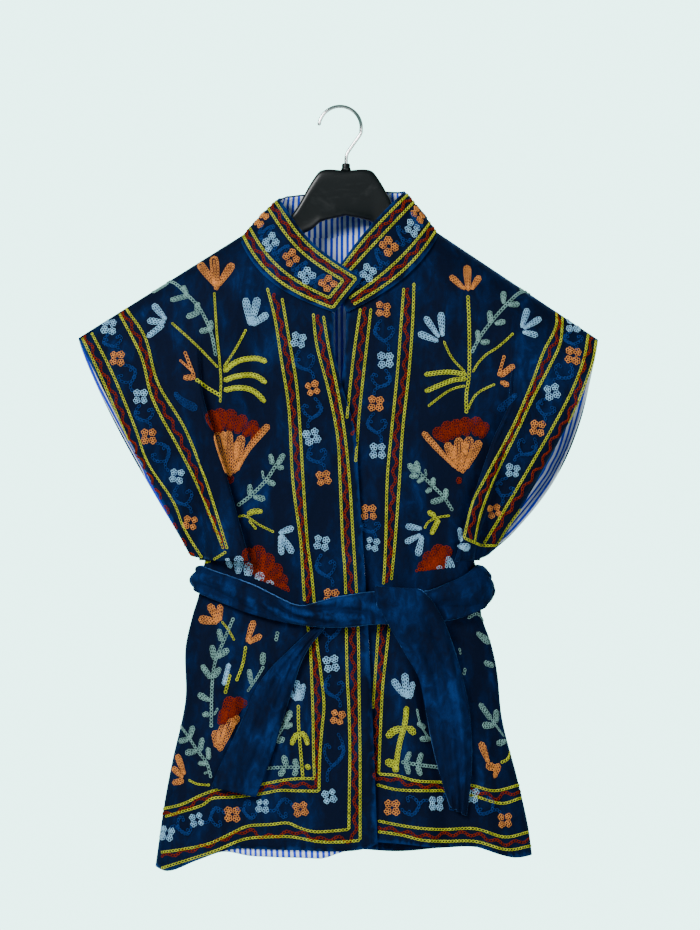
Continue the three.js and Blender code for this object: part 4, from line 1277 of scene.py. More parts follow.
leftPlants = [
    ("orange", 8.5, [(146.3, 212.5), (128.8, 196.2)]),
    ("orange", 10.3, [(149.9, 213.7), (148.5, 184.1)]),
    ("orange", 8.5, [(153.5, 212.5), (163.8, 196.2)]),
    ("lime", 4, [(149.7, 219.3), (151.2, 256.2), (151.2, 309.9), (147.9, 334.5), (147.9, 356.9)]),
    ("sky", 9.4, [(116.1, 268.5), (99.3, 243.9)]),
    ("sky", 10.3, [(119.9, 267.4), (118.1, 238.7)]),
    ("sky", 10.3, [(115, 273), (91.5, 263.4)]),
    ("lime", 4.7, [(120.6, 270.7), (130.6, 292), (147.4, 309.9)]),
    ("lime", 5.6, [(149.7, 312.2), (126.2, 308.8), (97.1, 312.2)]),
    ("lime", 5.6, [(149.7, 316.6), (130.6, 318.9), (98.2, 332.3)]),
    ("lime", 4.7, [(148.5, 324.5), (128.4, 330.1), (101.5, 350.2)]),
    ("sky", 9.8, [(212.3, 257.3), (219.7, 234.3)]),
    ("sky", 9.4, [(214.6, 258.4), (235.4, 245.4)]),
    ("sky", 9.4, [(213.5, 261.8), (231.8, 266.3)]),
    ("lime", 5.1, [(154.1, 311), (166.5, 292), (186.6, 278.6), (204.5, 261.8)]),
    ("sage", 4, [(154.1, 286.4), (164.2, 267.4), (177.6, 249.5), (195.6, 229.3), (211.2, 215.9),
        (226.9, 216.3)]),
    ("sage", 6, [(162.4, 273), (160.4, 258.9)]),
    ("sage", 6.7, [(165.3, 274.5), (175.9, 273)]),
    ("sage", 6.7, [(175.9, 250.6), (175, 236.5)]),
    ("sage", 7.6, [(181, 252.2), (193.8, 249.5)]),
    ("sage", 7.6, [(191.1, 229.3), (191.3, 214.1)]),
    ("sage", 7.6, [(196.7, 230.7), (210.1, 229.3)]),
    ("sage", 5.8, [(212.6, 214.1), (211.2, 202.9)]),
    ("sage", 6.3, [(217.9, 214.8), (230.3, 219.3)]),
    ("sage", 5.4, [(149.7, 287.1), (145.4, 287.5)]),
    ("orange", 3.6, [(185.5, 313.3), (192.4, 289.8)]),
    ("orange", 7.2, [(187.7, 313.3), (204.5, 300.5)]),
    ("orange", 8.1, [(187.7, 320), (198.2, 325.1)]),
    ("lime", 4.7, [(148.5, 354.7), (159.7, 334.5), (183.2, 322.2)]),
    ("deepBlue", 9.4, [(208.5, 332.7), (195.6, 345.7), (184.4, 354.7)]),
    ("rust", 13.4, [(120.6, 384.9), (110, 375.3)]),
    ("rust", 13.4, [(128.8, 380.4), (123, 366.3)]),
    ("rust", 12.5, [(137.4, 378.2), (134.7, 363.6)]),
    ("rust", 13.4, [(147.4, 375.9), (146.8, 361.4)]),
    ("rust", 13.4, [(159.3, 375.9), (160.2, 361)]),
    ("rust", 11.6, [(166.5, 380.4), (170.9, 367)]),
    ("orange", 8.1, [(136.2, 421.8), (115, 399.5), (96.6, 378.9)]),
    ("orange", 11.2, [(135.1, 417.4), (125, 391.6)]),
    ("orange", 12.1, [(139.1, 424.1), (139.1, 386)]),
    ("orange", 12.5, [(143, 426.3), (151.9, 384.9)]),
    ("orange", 11.2, [(147.4, 421.8), (163.8, 389.4)]),
    ("orange", 8.1, [(132.9, 410.6), (131.8, 395)]),
    ("orange", 8.1, [(147.4, 406.2), (146.3, 390.5)]),
    ("rust", 7.6, [(138, 440.9), (140, 431.9)]),
    ("sage", 4, [(131.8, 471.1), (121.7, 455.4), (108.3, 442), (94.8, 428.6), (84.8, 417.4)]),
    ("sage", 6.7, [(87.7, 426.8), (79.6, 415.6)]),
    ("sage", 6.7, [(92.1, 424.5), (89, 412.4)]),
    ("sage", 6.3, [(91.5, 430.8), (80.5, 430.8)]),
    ("sage", 5.8, [(97.1, 433), (89.9, 438.6)]),
    ("sage", 5.4, [(101.1, 431.2), (99.3, 420.7)]),
    ("sage", 5.8, [(108.7, 442.4), (109.4, 431.2)]),
    ("sage", 5.8, [(107.1, 445.3), (99.7, 450)]),
    ("sage", 6.3, [(123.9, 455.9), (123.9, 444.2)]),
    ("sage", 7.2, [(119.9, 457.7), (105.6, 461.5)]),
    ("lime", 4.5, [(130.6, 476.7), (115, 478.9), (102.7, 484.5), (98.2, 493.9)]),
    ("lime", 6.3, [(113.2, 478.9), (101.5, 471.1)]),
    ("lime", 6.3, [(116.1, 480), (106, 500.2)]),
    ("sky", 9.4, [(95.9, 492.4), (76.5, 489)]),
    ("sky", 9, [(94.8, 499.1), (75.8, 508.7)]),
    ("sky", 10.3, [(96.2, 500.2), (90.8, 524.4)]),
    ("sky", 5.8, [(139.6, 491.2), (142.3, 508)]),
    ("sky", 10.3, [(137.4, 512.5), (152.6, 513.6)]),
    ("rust", 14.8, [(109, 532.5), (118.8, 510.4)]),
    ("rust", 13.8, [(104, 537.5), (104.5, 517.8)]),
    ("rust", 13.8, [(101.6, 542.4), (94.2, 531.3)]),
    ("rust", 13.8, [(99.6, 548.5), (88, 542.4)]),
    ("rust", 12.8, [(99.1, 555.9), (82.4, 553.5)]),
    ("rust", 13.8, [(113.9, 532.5), (128.7, 512.8)]),
    ("rust", 13.8, [(109, 544.8), (121.3, 525.1)]),
    ("sky", 14.0, [(126.7, 526.1), (129.9, 542.4)]),
    ("sky", 14.5, [(115.6, 537.4), (121.8, 550.1)]),
    ("sky", 14.5, [(104, 548.5), (111.9, 559.7)]),
    ("sky", 13.0, [(88.4, 557.1), (99.7, 565)]),
    ("sky", 9.8, [(141, 512.8), (150.8, 516.5)]),
    ("sky", 10.3, [(75.7, 688.9), (61.7, 668.4)]),
    ("sky", 10.3, [(78.2, 691.3), (75.7, 661.1)]),
    ("sky", 6.9, [(81.4, 690.1), (85.6, 670.9)]),
    ("lime", 6.4, [(78.2, 698.7), (75.7, 722.1), (69.6, 744.3), (64.6, 776.3)]),
    ("lime", 8.6, [(74.5, 725.8), (62.7, 729), (54.3, 737.4)]),
    ("lime", 8.1, [(77, 725.3), (84.3, 727.8), (86.3, 734.9)]),
    ("lime", 9.4, [(52.8, 764), (65.9, 769.4)]),
    ("lime", 7.4, [(62.2, 775.1), (68.3, 772.6)]),
    ("sage", 4.4, [(89.8, 702.4), (94.2, 722.1), (105.3, 739.4)]),
    ("sage", 6.4, [(99.6, 725.1), (89.8, 719.7)]),
    ("sage", 6.9, [(105.3, 738.1), (92.7, 738.4)]),
    ("sage", 4.2, [(72, 765.2), (94.2, 768.9), (115.1, 771.4)]),
    ("sage", 6.4, [(77.5, 764), (82.4, 752.7)]),
    ("sage", 6.6, [(91.7, 766.9), (95.7, 754.1)]),
    ("sage", 6.6, [(77.5, 766.9), (80.9, 780.2)]),
    ("sage", 6.6, [(90.7, 770.1), (94.7, 781.7)]),
    ("sage", 3.7, [(149.6, 597), (160.7, 591.6), (170, 604.4)]),
    ("sage", 8.9, [(160.2, 613.8), (175, 626.1)]),
    ("sage", 6.9, [(169.3, 648.8), (180.4, 653.2)]),
    ("sage", 5.4, [(139.5, 631), (141, 641.4)]),
    ("sage", 3.9, [(146.4, 655.6), (144.7, 663)]),
    ("sage", 4.9, [(176.7, 714.7), (192.7, 736.9)]),
    ("sage", 6.9, [(175.9, 714.7), (163.1, 696.3)]),
    ("sage", 7.4, [(182.3, 718.4), (182.8, 703.7)]),
    ("sage", 8.9, [(180.4, 722.6), (166.1, 722.1)]),
    ("sage", 8.1, [(194.7, 740.6), (182.8, 744.3)]),
    ("orange", 9.4, [(173.5, 766.5), (164.4, 741.8)]),
    ("orange", 11.3, [(182.8, 772.6), (171, 768.9)]),
    ("orange", 8.9, [(180.4, 783.7), (185.8, 766.9)]),
    ("lime", 3.7, [(198.8, 751.7), (196.4, 761.5), (188.3, 766)]),
]
borders = [
    ("front_right", "line", [(-301.3, 269.3), (-279, 315.8), (-259.6, 360.4), (-242.2, 399.2),
        (-218.9, 449.7), (-199.5, 492.4), (-182, 523.4)]),
    ("front_right", "zigzag", [(-298.1, 265.8), (-276.1, 310), (-259.6, 348.8), (-244.1, 385.7),
        (-228.6, 418.6), (-211.1, 455.5), (-191.7, 494.3), (-171.4, 525.3)]),
    ("front_right", "line", [(-290.7, 263.1), (-267.4, 308.1), (-241.2, 370.1), (-224.7, 414.8),
        (-195.6, 459.4), (-182, 492.4), (-160.7, 527.3)]),
    ("front_right", "line", [(-257.7, 241.1), (-232.5, 290.6), (-218.9, 341), (-187.9, 399.2),
        (-164.6, 445.8), (-136.4, 515.6)]),
    ("front_right", "zigzag", [(-253.8, 237.8), (-230.9, 279), (-217.3, 330.4), (-189.8, 379.8),
        (-169.4, 426.4), (-151, 474.9), (-134.5, 515.6)]),
    ("front_right", "line", [(-250.3, 234.7), (-227.6, 269.3), (-213.1, 321.6), (-183, 372.1),
        (-162.6, 420.6), (-149.1, 459.4), (-132, 515.6)]),
    ("front_right", "line", [(-166.9, 531.5), (-155.8, 531.5), (-144.7, 526.6), (-133.4, 519.2)]),
    ("front_right", "line", [(-85, 210.8), (-76, 246.6), (-68.6, 294.4), (-59.6, 354.1), (-55.2, 435.2),
        (-46.2, 505.4), (-43.8, 539.9), (-41.3, 579.3), (-35.2, 626.1), (-32.7, 677.8), (-31.5, 714.7),
        (-31, 751.7), (-30, 784.2)]),
    ("front_right", "zigzag", [(-76.6, 216.8), (-68, 258.5), (-59.6, 309.3), (-52.2, 383.9), (-49.2, 435.2),
        (-42.5, 505.4), (-38.8, 539.9), (-35.9, 578.1), (-31.5, 623.6), (-28.3, 663), (-26, 702.4),
        (-26, 741.8), (-27, 781.2), (-29, 791.8), (-51.2, 791.8), (-70.9, 792.8), (-93, 797.2),
        (-125, 802.2), (-142.3, 801.7), (-166.9, 810.8), (-184.1, 822.6), (-208.7, 828.5)]),
    ("front_right", "line", [(-67.7, 222.7), (-59.6, 270.5), (-50.7, 324.2), (-46.2, 383.9), (-43.2, 435.2),
        (-38.4, 505.4), (-33.9, 539.9), (-30.2, 576.8), (-27.8, 618.7), (-22.8, 658.1), (-18.7, 697.5),
        (-21.1, 727.1), (-23.6, 759.1), (-24.6, 799.2)]),
    ("front_right", "line", [(-30, 784.7), (-51.2, 784.9), (-70.9, 787.4), (-90.6, 791.1), (-125, 795.5),
        (-139.8, 796.5), (-162, 803.9), (-184.1, 814.5), (-208.7, 820.6)]),
    ("front_right", "line", [(-25.1, 799.4), (-51.2, 799), (-70.9, 798.5), (-93, 802.6), (-125, 806.3),
        (-149.7, 807.8), (-162, 816.2), (-194, 826), (-203.8, 829)]),
    ("front_right", "line", [(-31.3, 240.6), (-26.8, 279.4), (-13.4, 330.2), (-2.9, 383.9), (0.1, 435.2),
        (3, 505.4), (5.5, 537.5), (6.7, 569.5), (7.4, 608.9), (8.4, 663), (10.4, 702.4), (11.6, 751.7),
        (10.9, 800.9), (10.4, 843.8)]),
    ("front_right", "zigzag", [(-25.3, 242.1), (-19.3, 282.4), (-8, 330.2), (1.6, 383.9), (5.4, 435.2),
        (8.5, 505), (12, 560), (15, 620), (16, 693), (17, 780), (16.5, 852), (-1.9, 855.1), (-26.5, 855.1),
        (-51.2, 846.5), (-70.9, 850.2), (-90.6, 853.1), (-110.3, 846.5), (-149.7, 860.5), (-198.9, 874.1),
        (-208.7, 876.8)]),
    ("front_right", "line", [(-19.3, 243.6), (-13.4, 279.4), (-2.9, 330.2), (5.1, 377.9), (11.1, 435.2),
        (15.5, 505), (19, 560), (21.5, 620), (22.5, 693), (23.5, 760), (23.5, 856)]),
    ("front_right", "line", [(9.9, 844.3), (-26.5, 847), (-46.2, 842.8), (-61, 836.6), (-80.7, 838.4),
        (-107.8, 840.3), (-130, 850.2), (-154.6, 861.3), (-184.1, 867.4), (-208.7, 870.9)]),
    ("front_right", "line", [(22.7, 857.1), (-1.9, 859), (-26.5, 858.3), (-56.1, 852.9), (-80.7, 852.9),
        (-112.7, 855.8), (-149.7, 870.6), (-198.9, 886.4), (-208.7, 889.6)]),
    ("front_left", "line", [(252.6, 231.6), (252.6, 256.2), (238.1, 285.3), (224.7, 321.1), (204.5, 368.1),
        (186.6, 401.7), (168.7, 435.3), (155.3, 462.1), (145.2, 502.4)]),
    ("front_left", "zigzag", [(256.4, 236.5), (254.2, 267.4), (241.4, 294.2), (224.7, 330.1),
        (206.7, 371.5), (188.8, 406.2), (173.2, 437.5), (159.7, 468.8), (150.8, 504.2)]),
    ("front_left", "line", [(260.5, 240.5), (257.8, 274.1), (244.8, 303.2), (224.7, 341.3), (209, 374.8),
        (191.1, 410.6), (177.6, 439.7), (164.2, 475.6), (157.5, 506.9)]),
    ("front_left", "line", [(290.7, 262.9), (285.1, 294.2), (271.7, 330.1), (249.3, 372.6), (231.4, 403.9),
        (209, 442), (186.6, 480), (168.7, 509.1)]),
    ("front_left", "zigzag", [(295.8, 268.5), (285.1, 303.2), (273.9, 343.5), (260.5, 370.4), (247, 392.7),
        (237, 415.1), (224.7, 430.8), (204.5, 459.9), (188.8, 484.5), (177.6, 509.1)]),
    ("front_left", "line", [(299.6, 271.9), (295.2, 298.7), (280.6, 339), (267.6, 368.1), (257.1, 392.7),
        (242.6, 419.6), (226.9, 446.5), (213.5, 466.6), (195.6, 491.2), (183.2, 511.4)]),
    ("front_left", "line", [(145.2, 502.9), (156.4, 508), (166.5, 511.8), (182.1, 511.8)]),
    ("front_left", "line", [(23.9, 234.7), (16.5, 285.4), (10.5, 339.1), (8.1, 363)]),
    ("front_left", "zigzag", [(30.2, 233.2), (24.8, 279.4), (19.5, 324.2), (16.5, 369), (15.9, 383.9)]),
    ("front_left", "line", [(36.2, 234.7), (32.9, 264.5), (27.8, 309.3), (23, 354.1), (20.1, 389.9),
        (18.3, 413.8)]),
    ("front_left", "line", [(74.7, 210.8), (71.7, 249.6), (67.2, 309.3), (59.8, 383.9), (55.3, 435.2),
        (53.6, 505.4), (51.1, 554.7), (45.4, 605.2), (42, 653.2), (38.5, 702.4)]),
    ("front_left", "zigzag", [(80, 210.8), (77.7, 264.5), (73.8, 324.2), (66, 383.9), (62.7, 435.2),
        (59, 505.4), (55.3, 557.1), (50.4, 603.9), (46.9, 653.2), (44.2, 702.4), (42, 751.7), (42.5, 785.2),
        (59.7, 784.9), (84.3, 791.1), (113.9, 794), (153.3, 798.5), (182.8, 807.1), (195.2, 800.9),
        (211.2, 801.7)]),
    ("front_left", "line", [(86.6, 204.8), (85.1, 249.6), (80.6, 309.3), (73.2, 377.9), (69.6, 435.2),
        (64.6, 505.4), (59.7, 558.4), (57.8, 603.9), (53.6, 643.3), (49.9, 677.8), (47.4, 727.1),
        (45.4, 778.8)]),
    ("front_left", "line", [(45.9, 779.3), (67.1, 781.2), (89.3, 787.4), (121.3, 789.1), (153.3, 792.3),
        (180.4, 799), (210.4, 791.8)]),
    ("front_left", "line", [(43, 791.8), (67.1, 797.7), (104, 799), (122.5, 799), (153.3, 803.9),
        (187.8, 813.7), (211.7, 807.3)]),
    ("front_left", "line", [(44.5, 834.2), (72, 839.6), (96.7, 843), (121.3, 844.3), (158.2, 843.3),
        (192.7, 853.1), (222.7, 846.5)]),
    ("front_left", "zigzag", [(44.5, 840.8), (72, 846.5), (104, 852.6), (121.3, 850.7), (158.2, 850.2),
        (192.7, 860), (223.5, 855.1)]),
    ("front_left", "line", [(44.5, 846.7), (72, 850.7), (96.7, 856.8), (121.3, 858.1), (158.2, 858.1),
        (195.2, 867.9), (224.2, 863)]),
]
flowerRuns = [
    ("front_right", [(-270.3, 256.1, "sky"), (-260.6, 292.9, "orange"), (-233.4, 337.6, "sky"),
        (-223.7, 384.1, "orange"), (-190.8, 430.7, "sky"), (-175.2, 485, "orange")]),
    ("front_right", [(-48.6, 271.4, "sky"), (-31.9, 327.8, "orange"), (-33.1, 384.5, "sky"),
        (-19.3, 433.2, "orange")]),
    ("front_right", [(-21.6, 509.1, "sky"), (-10.5, 571.9, "orange"), (-10.5, 650.7, "sky"),
        (-2.6, 712.8, "orange"), (-12.5, 805.4, "sky")]),
    ("front_right", [(-46.2, 820.6, "orange"), (-90.6, 816.9, "sky"), (-125.8, 826.8, "orange"),
        (-167.4, 832.9, "sky"), (-202.6, 848.9, "sky")]),
    ("front_left", [(272.8, 254.4, "sky"), (272.8, 289.8, "orange"), (248.2, 332.3, "sky"),
        (231.4, 374.8, "orange"), (202.3, 424.1, "sky"), (180.3, 471.5, "orange")]),
    ("front_left", [(50.2, 235.6, "orange"), (52.9, 295.3, "sky"), (42.1, 345.7, "orange"),
        (44.2, 401.2, "sky")]),
    ("front_left", [(33.9, 473.4, "orange"), (38.1, 510.4, "sky")]),
    ("front_left", [(61, 818.7, "orange"), (112.7, 813.7, "sky"), (153.3, 804.6, "sky"),
        (192.7, 833.4, "orange")]),
]


def makeLinkShape():
    # One chain link, about 1 long and 1 wide, made by spinning a small section round
    shape = bmesh.new()
    thread = stitch["thread"]
    ring = bmesh.ops.create_circle(shape, segments=3, radius=thread)
    turned = ring["verts"]
    bmesh.ops.rotate(shape, verts=turned, cent=(0, 0, 0), matrix=Matrix.Rotation(math.pi / 2, 3, "X"))
    bmesh.ops.translate(shape, verts=turned, vec=(0.5 - thread, 0, 0))
    bmesh.ops.spin(
        shape, geom=shape.verts[:] + shape.edges[:], cent=(0, 0, 0), axis=(0, 0, 1),
        dvec=(0, 0, 0), angle=2 * math.pi, steps=6, use_merge=True,
    )
    bmesh.ops.recalc_face_normals(shape, faces=shape.faces[:])
    for corner in shape.verts:  # the end that comes out of the cloth is narrower
        corner.co.y *= 1.0 + 0.35 * corner.co.x
    points = np.array([corner.co[:] for corner in shape.verts])
    faces = np.array([[corner.index for corner in face.verts] for face in shape.faces])
    shape.free()
    return points, faces


linkPoints, linkFaces = makeLinkShape()
chains = {}
frontTree = joinedTree(["front_right", "front_left"])
eye = Vector(studio["cameraPlace"])


def landOn(region, x, drop):
    # Where a place of the design lies on the cloth: along the camera's line in front, straight in behind
    target = Vector((x * millimetre, 0, -drop * millimetre))
    if region == "back":
        start, heading = target + Vector((0, 0.5, 0)), Vector((0, -1, 0))
        tree = velvetTrees["back"]
    else:
        start, heading = eye, (target - eye).normalized()
        tree = velvetTrees["collar"] if region == "collar" else frontTree
    place, normal, _, _ = tree.ray_cast(start, heading)
    if place is None:
        return None
    return np.array(place) / millimetre, np.array(-normal if normal.dot(heading) > 0 else normal)


def underSash(region, x, drop):
    if region == "collar" or not 520 < drop < 650:
        return False
    turn = float(np.interp(x, [-170, -95, -45, 0, 70, 120, 165], [-90, -41, -18, 0, 59, 75, 90]))
    if region == "back":
        turn = 180
    return read(band["path"], turn, 1) + 4 < drop < read(band["path"], turn, 2) - 4


def chainThrough(region, colour, hits, pitch, width):
    # Lays links of one width along points on the cloth
    places = np.array([hit[0] for hit in hits])
    normals = np.array([hit[1] for hit in hits])
    steps = np.linalg.norm(np.diff(places, axis=0), axis=1)
    along = np.concatenate([[0], np.cumsum(steps)])
    count = max(1, round(along[-1] / pitch))
    if along[-1] < 0.6 * pitch:
        return
    marks = np.linspace(0, along[-1], count + 1)
    corners = np.stack([np.interp(marks, along, places[:, k]) for k in range(3)], axis=1)
    facing = np.stack([np.interp(marks, along, normals[:, k]) for k in range(3)], axis=1)
    for a, b, normal in zip(corners, corners[1:], (facing[:-1] + facing[1:]) / 2):
        chains.setdefault((colour, region), []).append((*a, *b, *normal, width))


def sewLine(region, colour, points, width, pitch=None):
    # Samples a line of the design, lands it on the cloth and breaks it where the cloth jumps or the sash lies
    points = np.array(points, float)
    lengths = lineLengths(points)
    if lengths[-1] < 0.5:
        return
    marks = np.linspace(0, lengths[-1], max(2, round(lengths[-1] / stitch["sample"])) + 1)
    run = []
    for x, drop in zip(np.interp(marks, lengths, points[:, 0]), np.interp(marks, lengths, points[:, 1])):
        hit = None if underSash(region, x, drop) else landOn(region, x, drop)
        if hit is not None and run and np.linalg.norm(hit[0] - run[-1][0]) > stitch["jump"]:
            if len(run) > 2:
                chainThrough(region, colour, run, pitch or stitch["pitch"], width)
            run = []
        if hit is not None:
            run.append(hit)
        elif len(run) > 2:
            chainThrough(region, colour, run, pitch or stitch["pitch"], width)
            run = []
        else:
            run = []
    if len(run) > 2:
        chainThrough(region, colour, run, pitch or stitch["pitch"], width)


def smoothLine(points):
    return smoothPath(points, 8) if len(points) > 2 else np.array(points, float)


def sidewaysOf(points):
    along = np.gradient(points, axis=0)
    along /= np.maximum(np.linalg.norm(along, axis=1, keepdims=True), 1e-9)
    return np.stack([-along[:, 1], along[:, 0]], axis=1)


def strokeLoop(line, width, inset, taper):
    # The closed line at a distance in from a stroke's edge, or nothing where the stroke is too narrow for it
    lengths = lineLengths(line)
    length = lengths[-1]
    radius = width / 2
    caps = min(radius, 0.3 * length)
    marks = np.linspace(caps * lerp(1, taper, 0.5), length - caps, 9)
    middle = np.stack([np.interp(marks, lengths, line[:, k]) for k in range(2)], axis=1)
    side = sidewaysOf(middle)
    along = np.stack([side[:, 1], -side[:, 0]], axis=1)
    reach = (radius * lerp(taper, 1, smoothstep(marks / length, 0, 0.75)) - inset)[:, None]
    if reach.max() < 0.35 * stitch["row"]:
        return None
    reach = np.maximum(reach, 0.25)
    bend = np.linspace(0, math.pi, 7)[1:-1, None]
    tip = middle[-1] + reach[-1] * (np.cos(bend) * side[-1] + np.sin(bend) * along[-1])
    foot = middle[0] - reach[0] * (np.cos(bend) * side[0] + np.sin(bend) * along[0])
    loop = np.concatenate([middle + side * reach, tip, (middle - side * reach)[::-1], foot])
    return np.concatenate([loop, loop[:1]])


def sewStroke(region, colour, width, points):
    # Fills a stroke with rings of chain, one inside the other, and a line up its middle
    line = smoothLine(points)
    if len(line) == 2:
        line = np.array([lerp(line[0], line[1], t) for t in np.linspace(0, 1, 8)])
    row = stitch["row"]
    if width < 1.35 * row:
        return sewLine(region, colour, line, max(4.2, 1.2 * width))
    taper = stitch["taper"] if width > stitch["taperFrom"] and colour != "lime" else 1.0
    if width > stitch["taperFrom"]:
        width *= stitch["slimmer"].get(colour, 1)
    if colour in ("sage", "sky", "orange"):  # leaves and petals reach their stem
        foot = (line[0] - line[1]) / max(np.linalg.norm(line[0] - line[1]), 1e-6)
        tip = (line[-1] - line[-2]) / max(np.linalg.norm(line[-1] - line[-2]), 1e-6)
        first = line[0] + stitch["footReach"] * width * foot
        last = line[-1] + stitch["tipReach"] * width * tip
        line = np.concatenate([[first], line, [last]])
    if colour == "rust" and width > 11:  # the scallops touch each other and go down behind the petals
        back = (line[0] - line[-1]) / np.linalg.norm(line[0] - line[-1])
        line = np.concatenate([[line[0] + back * stitch["scallopReach"] * width], line])
        width *= 1.15
    inset = row / 2
    while True:
        loop = strokeLoop(line, width, inset, taper)
        if loop is None:
            break
        sewLine(region, colour, loop, row * 1.15, 3.9)
        inset += row
    if width / 2 - inset > -0.62 * row:
        lengths = lineLengths(line)
        short = min(width / 2, 0.4 * lengths[-1])
        marks = np.linspace(short, lengths[-1] - short, 6)
        middle = np.stack([np.interp(marks, lengths, line[:, k]) for k in range(2)], axis=1)
        sewLine(region, colour, middle, row, 3.9)


def sewZigzag(region, points, swing):
    line = smoothLine(points)
    lengths = lineLengths(line)
    marks = np.arange(0, lengths[-1], 1.5)
    even = np.stack([np.interp(marks, lengths, line[:, k]) for k in range(2)], axis=1)
    wave = np.sin(2 * np.pi * marks / stitch["zigzagWave"]) + 0.25 * np.sin(marks / 19)
    sewLine(region, "rust", even + sidewaysOf(even) * (swing * wave)[:, None], stitch["zigzagWidth"])


def petalRings(x, drop, turn, size, dice):
    # Four petals, each a ring of links
    rings = []
    for k in range(4):
        angle = turn + k * math.pi / 2 + dice.uniform(-0.12, 0.12)
        reach = size * stitch["petalReach"] * dice.uniform(0.92, 1.06)
        radius = size * stitch["petalRing"] * dice.uniform(0.9, 1.08)
        middle = (x + reach * math.cos(angle), drop + reach * math.sin(angle))
        rings.append([
            (middle[0] + radius * math.cos(a), middle[1] + radius * math.sin(a))
            for a in np.linspace(angle, angle + 2 * math.pi, 16)
        ])
    return rings


def sewFlower(region, colour, x, drop, turn, size, dice):
    for ring in petalRings(x, drop, turn, size, dice):
        sewLine(region, colour, ring, size * stitch["petalWidth"], stitch["petalPitch"])
        knot = np.array(ring[:-1]).mean(axis=0)
        sewLine(region, colour, [knot - (1.3, 0.4), knot + (1.3, 0.4)], 2.6, 3.0)


def sewVine(region, start, end, side):
    # From one flower to the next: a bending stem with curled leaves
    start, end = np.array(start, float), np.array(end, float)
    along = end - start
    length = np.linalg.norm(along)
    if length < 26:
        return
    along /= length
    across = np.array([-along[1], along[0]]) * side
    width, pitch = stitch["vineWidth"], stitch["vinePitch"]

    def spot(down, aside):
        return tuple(start + along * down * length + across * aside)

    stem = [spot(0.20, 2), spot(0.32, 9), spot(0.46, 10), spot(0.58, 3), spot(0.70, -5), spot(0.82, -4)]
    sewLine(region, "deepBlue", smoothLine(stem), width, pitch)
    for way in (-1, 1):
        curl = [(0.62, 0), (0.55, 7), (0.43, 11.5), (0.34, 9), (0.40, 5)]
        leaf = [spot(down, aside * way) for down, aside in curl]
        sewLine(region, "deepBlue", smoothLine(leaf), width, pitch)


def sewFlowers(region, run, dice):
    side = 1
    for x, drop, colour in run:
        sewFlower(region, colour, x, drop, dice.uniform(0.45, 1.1), dice.uniform(0.92, 1.1), dice)
    for first, second in zip(run, run[1:]):
        sewVine(region, first[:2], second[:2], side)
        side = -side


def cuffLine(name, offset):
    # A line on the back of a sleeve, at a distance in from the cuff's edge
    side = sides[name]
    drops = np.linspace(side["cuff"][0][0] - 26 * (offset / 60), side["cuff"][-1][0] - 2, 14)
    way = np.clip((drops - side["cuff"][0][0]) / (side["cuff"][-1][0] - side["cuff"][0][0]), 0, 1)
    bulge = cuffSwell(side, way)
    out = read(side["cuff"], drops) + bulge - offset * 1.12
    return [(side["sign"] * o, d) for o, d in zip(out, drops)]


def hemLine(offset):
    # A line right across the back, at a height over its hem
    x = np.linspace(-206, 212, 30)
    drops = [read(sides["right" if v < 0 else "left"]["hem"], abs(v), 2) - offset for v in x]
    return list(zip(x, drops))


def sewFronts(dice):
    for region, plants in (("front_right", rightPlants), ("front_left", leftPlants)):
        for colour, width, points in plants:
            sewStroke(region, colour, width, points)
    for region, kind, points in borders:
        if kind == "line":
            sewLine(region, "lime", smoothLine(points), stitch["lineWidth"])
        else:
            sewZigzag(region, points, stitch["zigzagSwing"])
    for region, run in flowerRuns:
        sewFlowers(region, run, dice)


def sewBack(dice):
    for plants in (rightPlants, leftPlants):
        for colour, width, points in plants:
            if min(abs(x) for x, _ in points) > 40:
                sewStroke("back", colour, width, points)
    for offset in (15, 30, 69, 82):
        sewLine("back", "lime", hemLine(offset), stitch["lineWidth"])
    for offset in (22.5, 75.5):
        sewZigzag("back", hemLine(offset), stitch["zigzagSwing"])
    hemSpots = [(x, float(hemLine(49)[i][1])) for i, x in enumerate(np.linspace(-206, 212, 30)) if i % 3 == 1]
    sewFlowers("back", [(x, d, "sky" if i % 2 else "orange") for i, (x, d) in enumerate(hemSpots)], dice)
    for name in ("right", "left"):
        for offset in (5, 18, 54, 66):
            sewLine("back", "lime", cuffLine(name, offset), stitch["lineWidth"])
        for offset in (11.5, 60):
            sewZigzag("back", cuffLine(name, offset), stitch["zigzagSwing"])
        spots = cuffLine(name, 36)[1::2]
        sewFlowers("back", [(x, d, "orange" if i % 2 else "sky") for i, (x, d) in enumerate(spots)], dice)
    for x in (-33, -22, 22, 33):
        sewLine("back", "lime", [(x, 166), (x, 520), (x * 1.05, 600), (x * 1.1, 786)], stitch["lineWidth"])
    for x in (-27.5, 27.5):
        sewZigzag("back", [(x, 166), (x, 520), (x * 1.05, 600), (x * 1.1, 786)], stitch["zigzagSwing"])
    column = [(0.0, drop, "sky" if i % 2 else "orange") for i, drop in enumerate(range(190, 780, 58))]
    sewFlowers("back", column, dice)


def collarHits(spots):
    # Points of the collar's face, from a place along it and a share of its height, with the way that
    # they face
    grid = collarFace
    hits = []
    for place, share in spots:
        column = np.clip((place + 1) / 2, 0, 1) * (grid.shape[1] - 1)
        row = np.clip(1 - share, 0, 1) * (grid.shape[0] - 1)
        c, r = min(int(column), grid.shape[1] - 2), min(int(row), grid.shape[0] - 2)
        u, v = column - c, row - r
        a, b, d, e = grid[r, c], grid[r, c + 1], grid[r + 1, c], grid[r + 1, c + 1]
        here = a * (1 - u) * (1 - v) + b * u * (1 - v) + d * (1 - u) * v + e * u * v
        normal = np.cross(b - a + e - d, a - d + b - e)
        normal /= np.linalg.norm(normal)
        if normal @ np.array([here[0], here[1], 0]) < 0:
            normal = -normal
        hits.append((here, normal))
    return hits


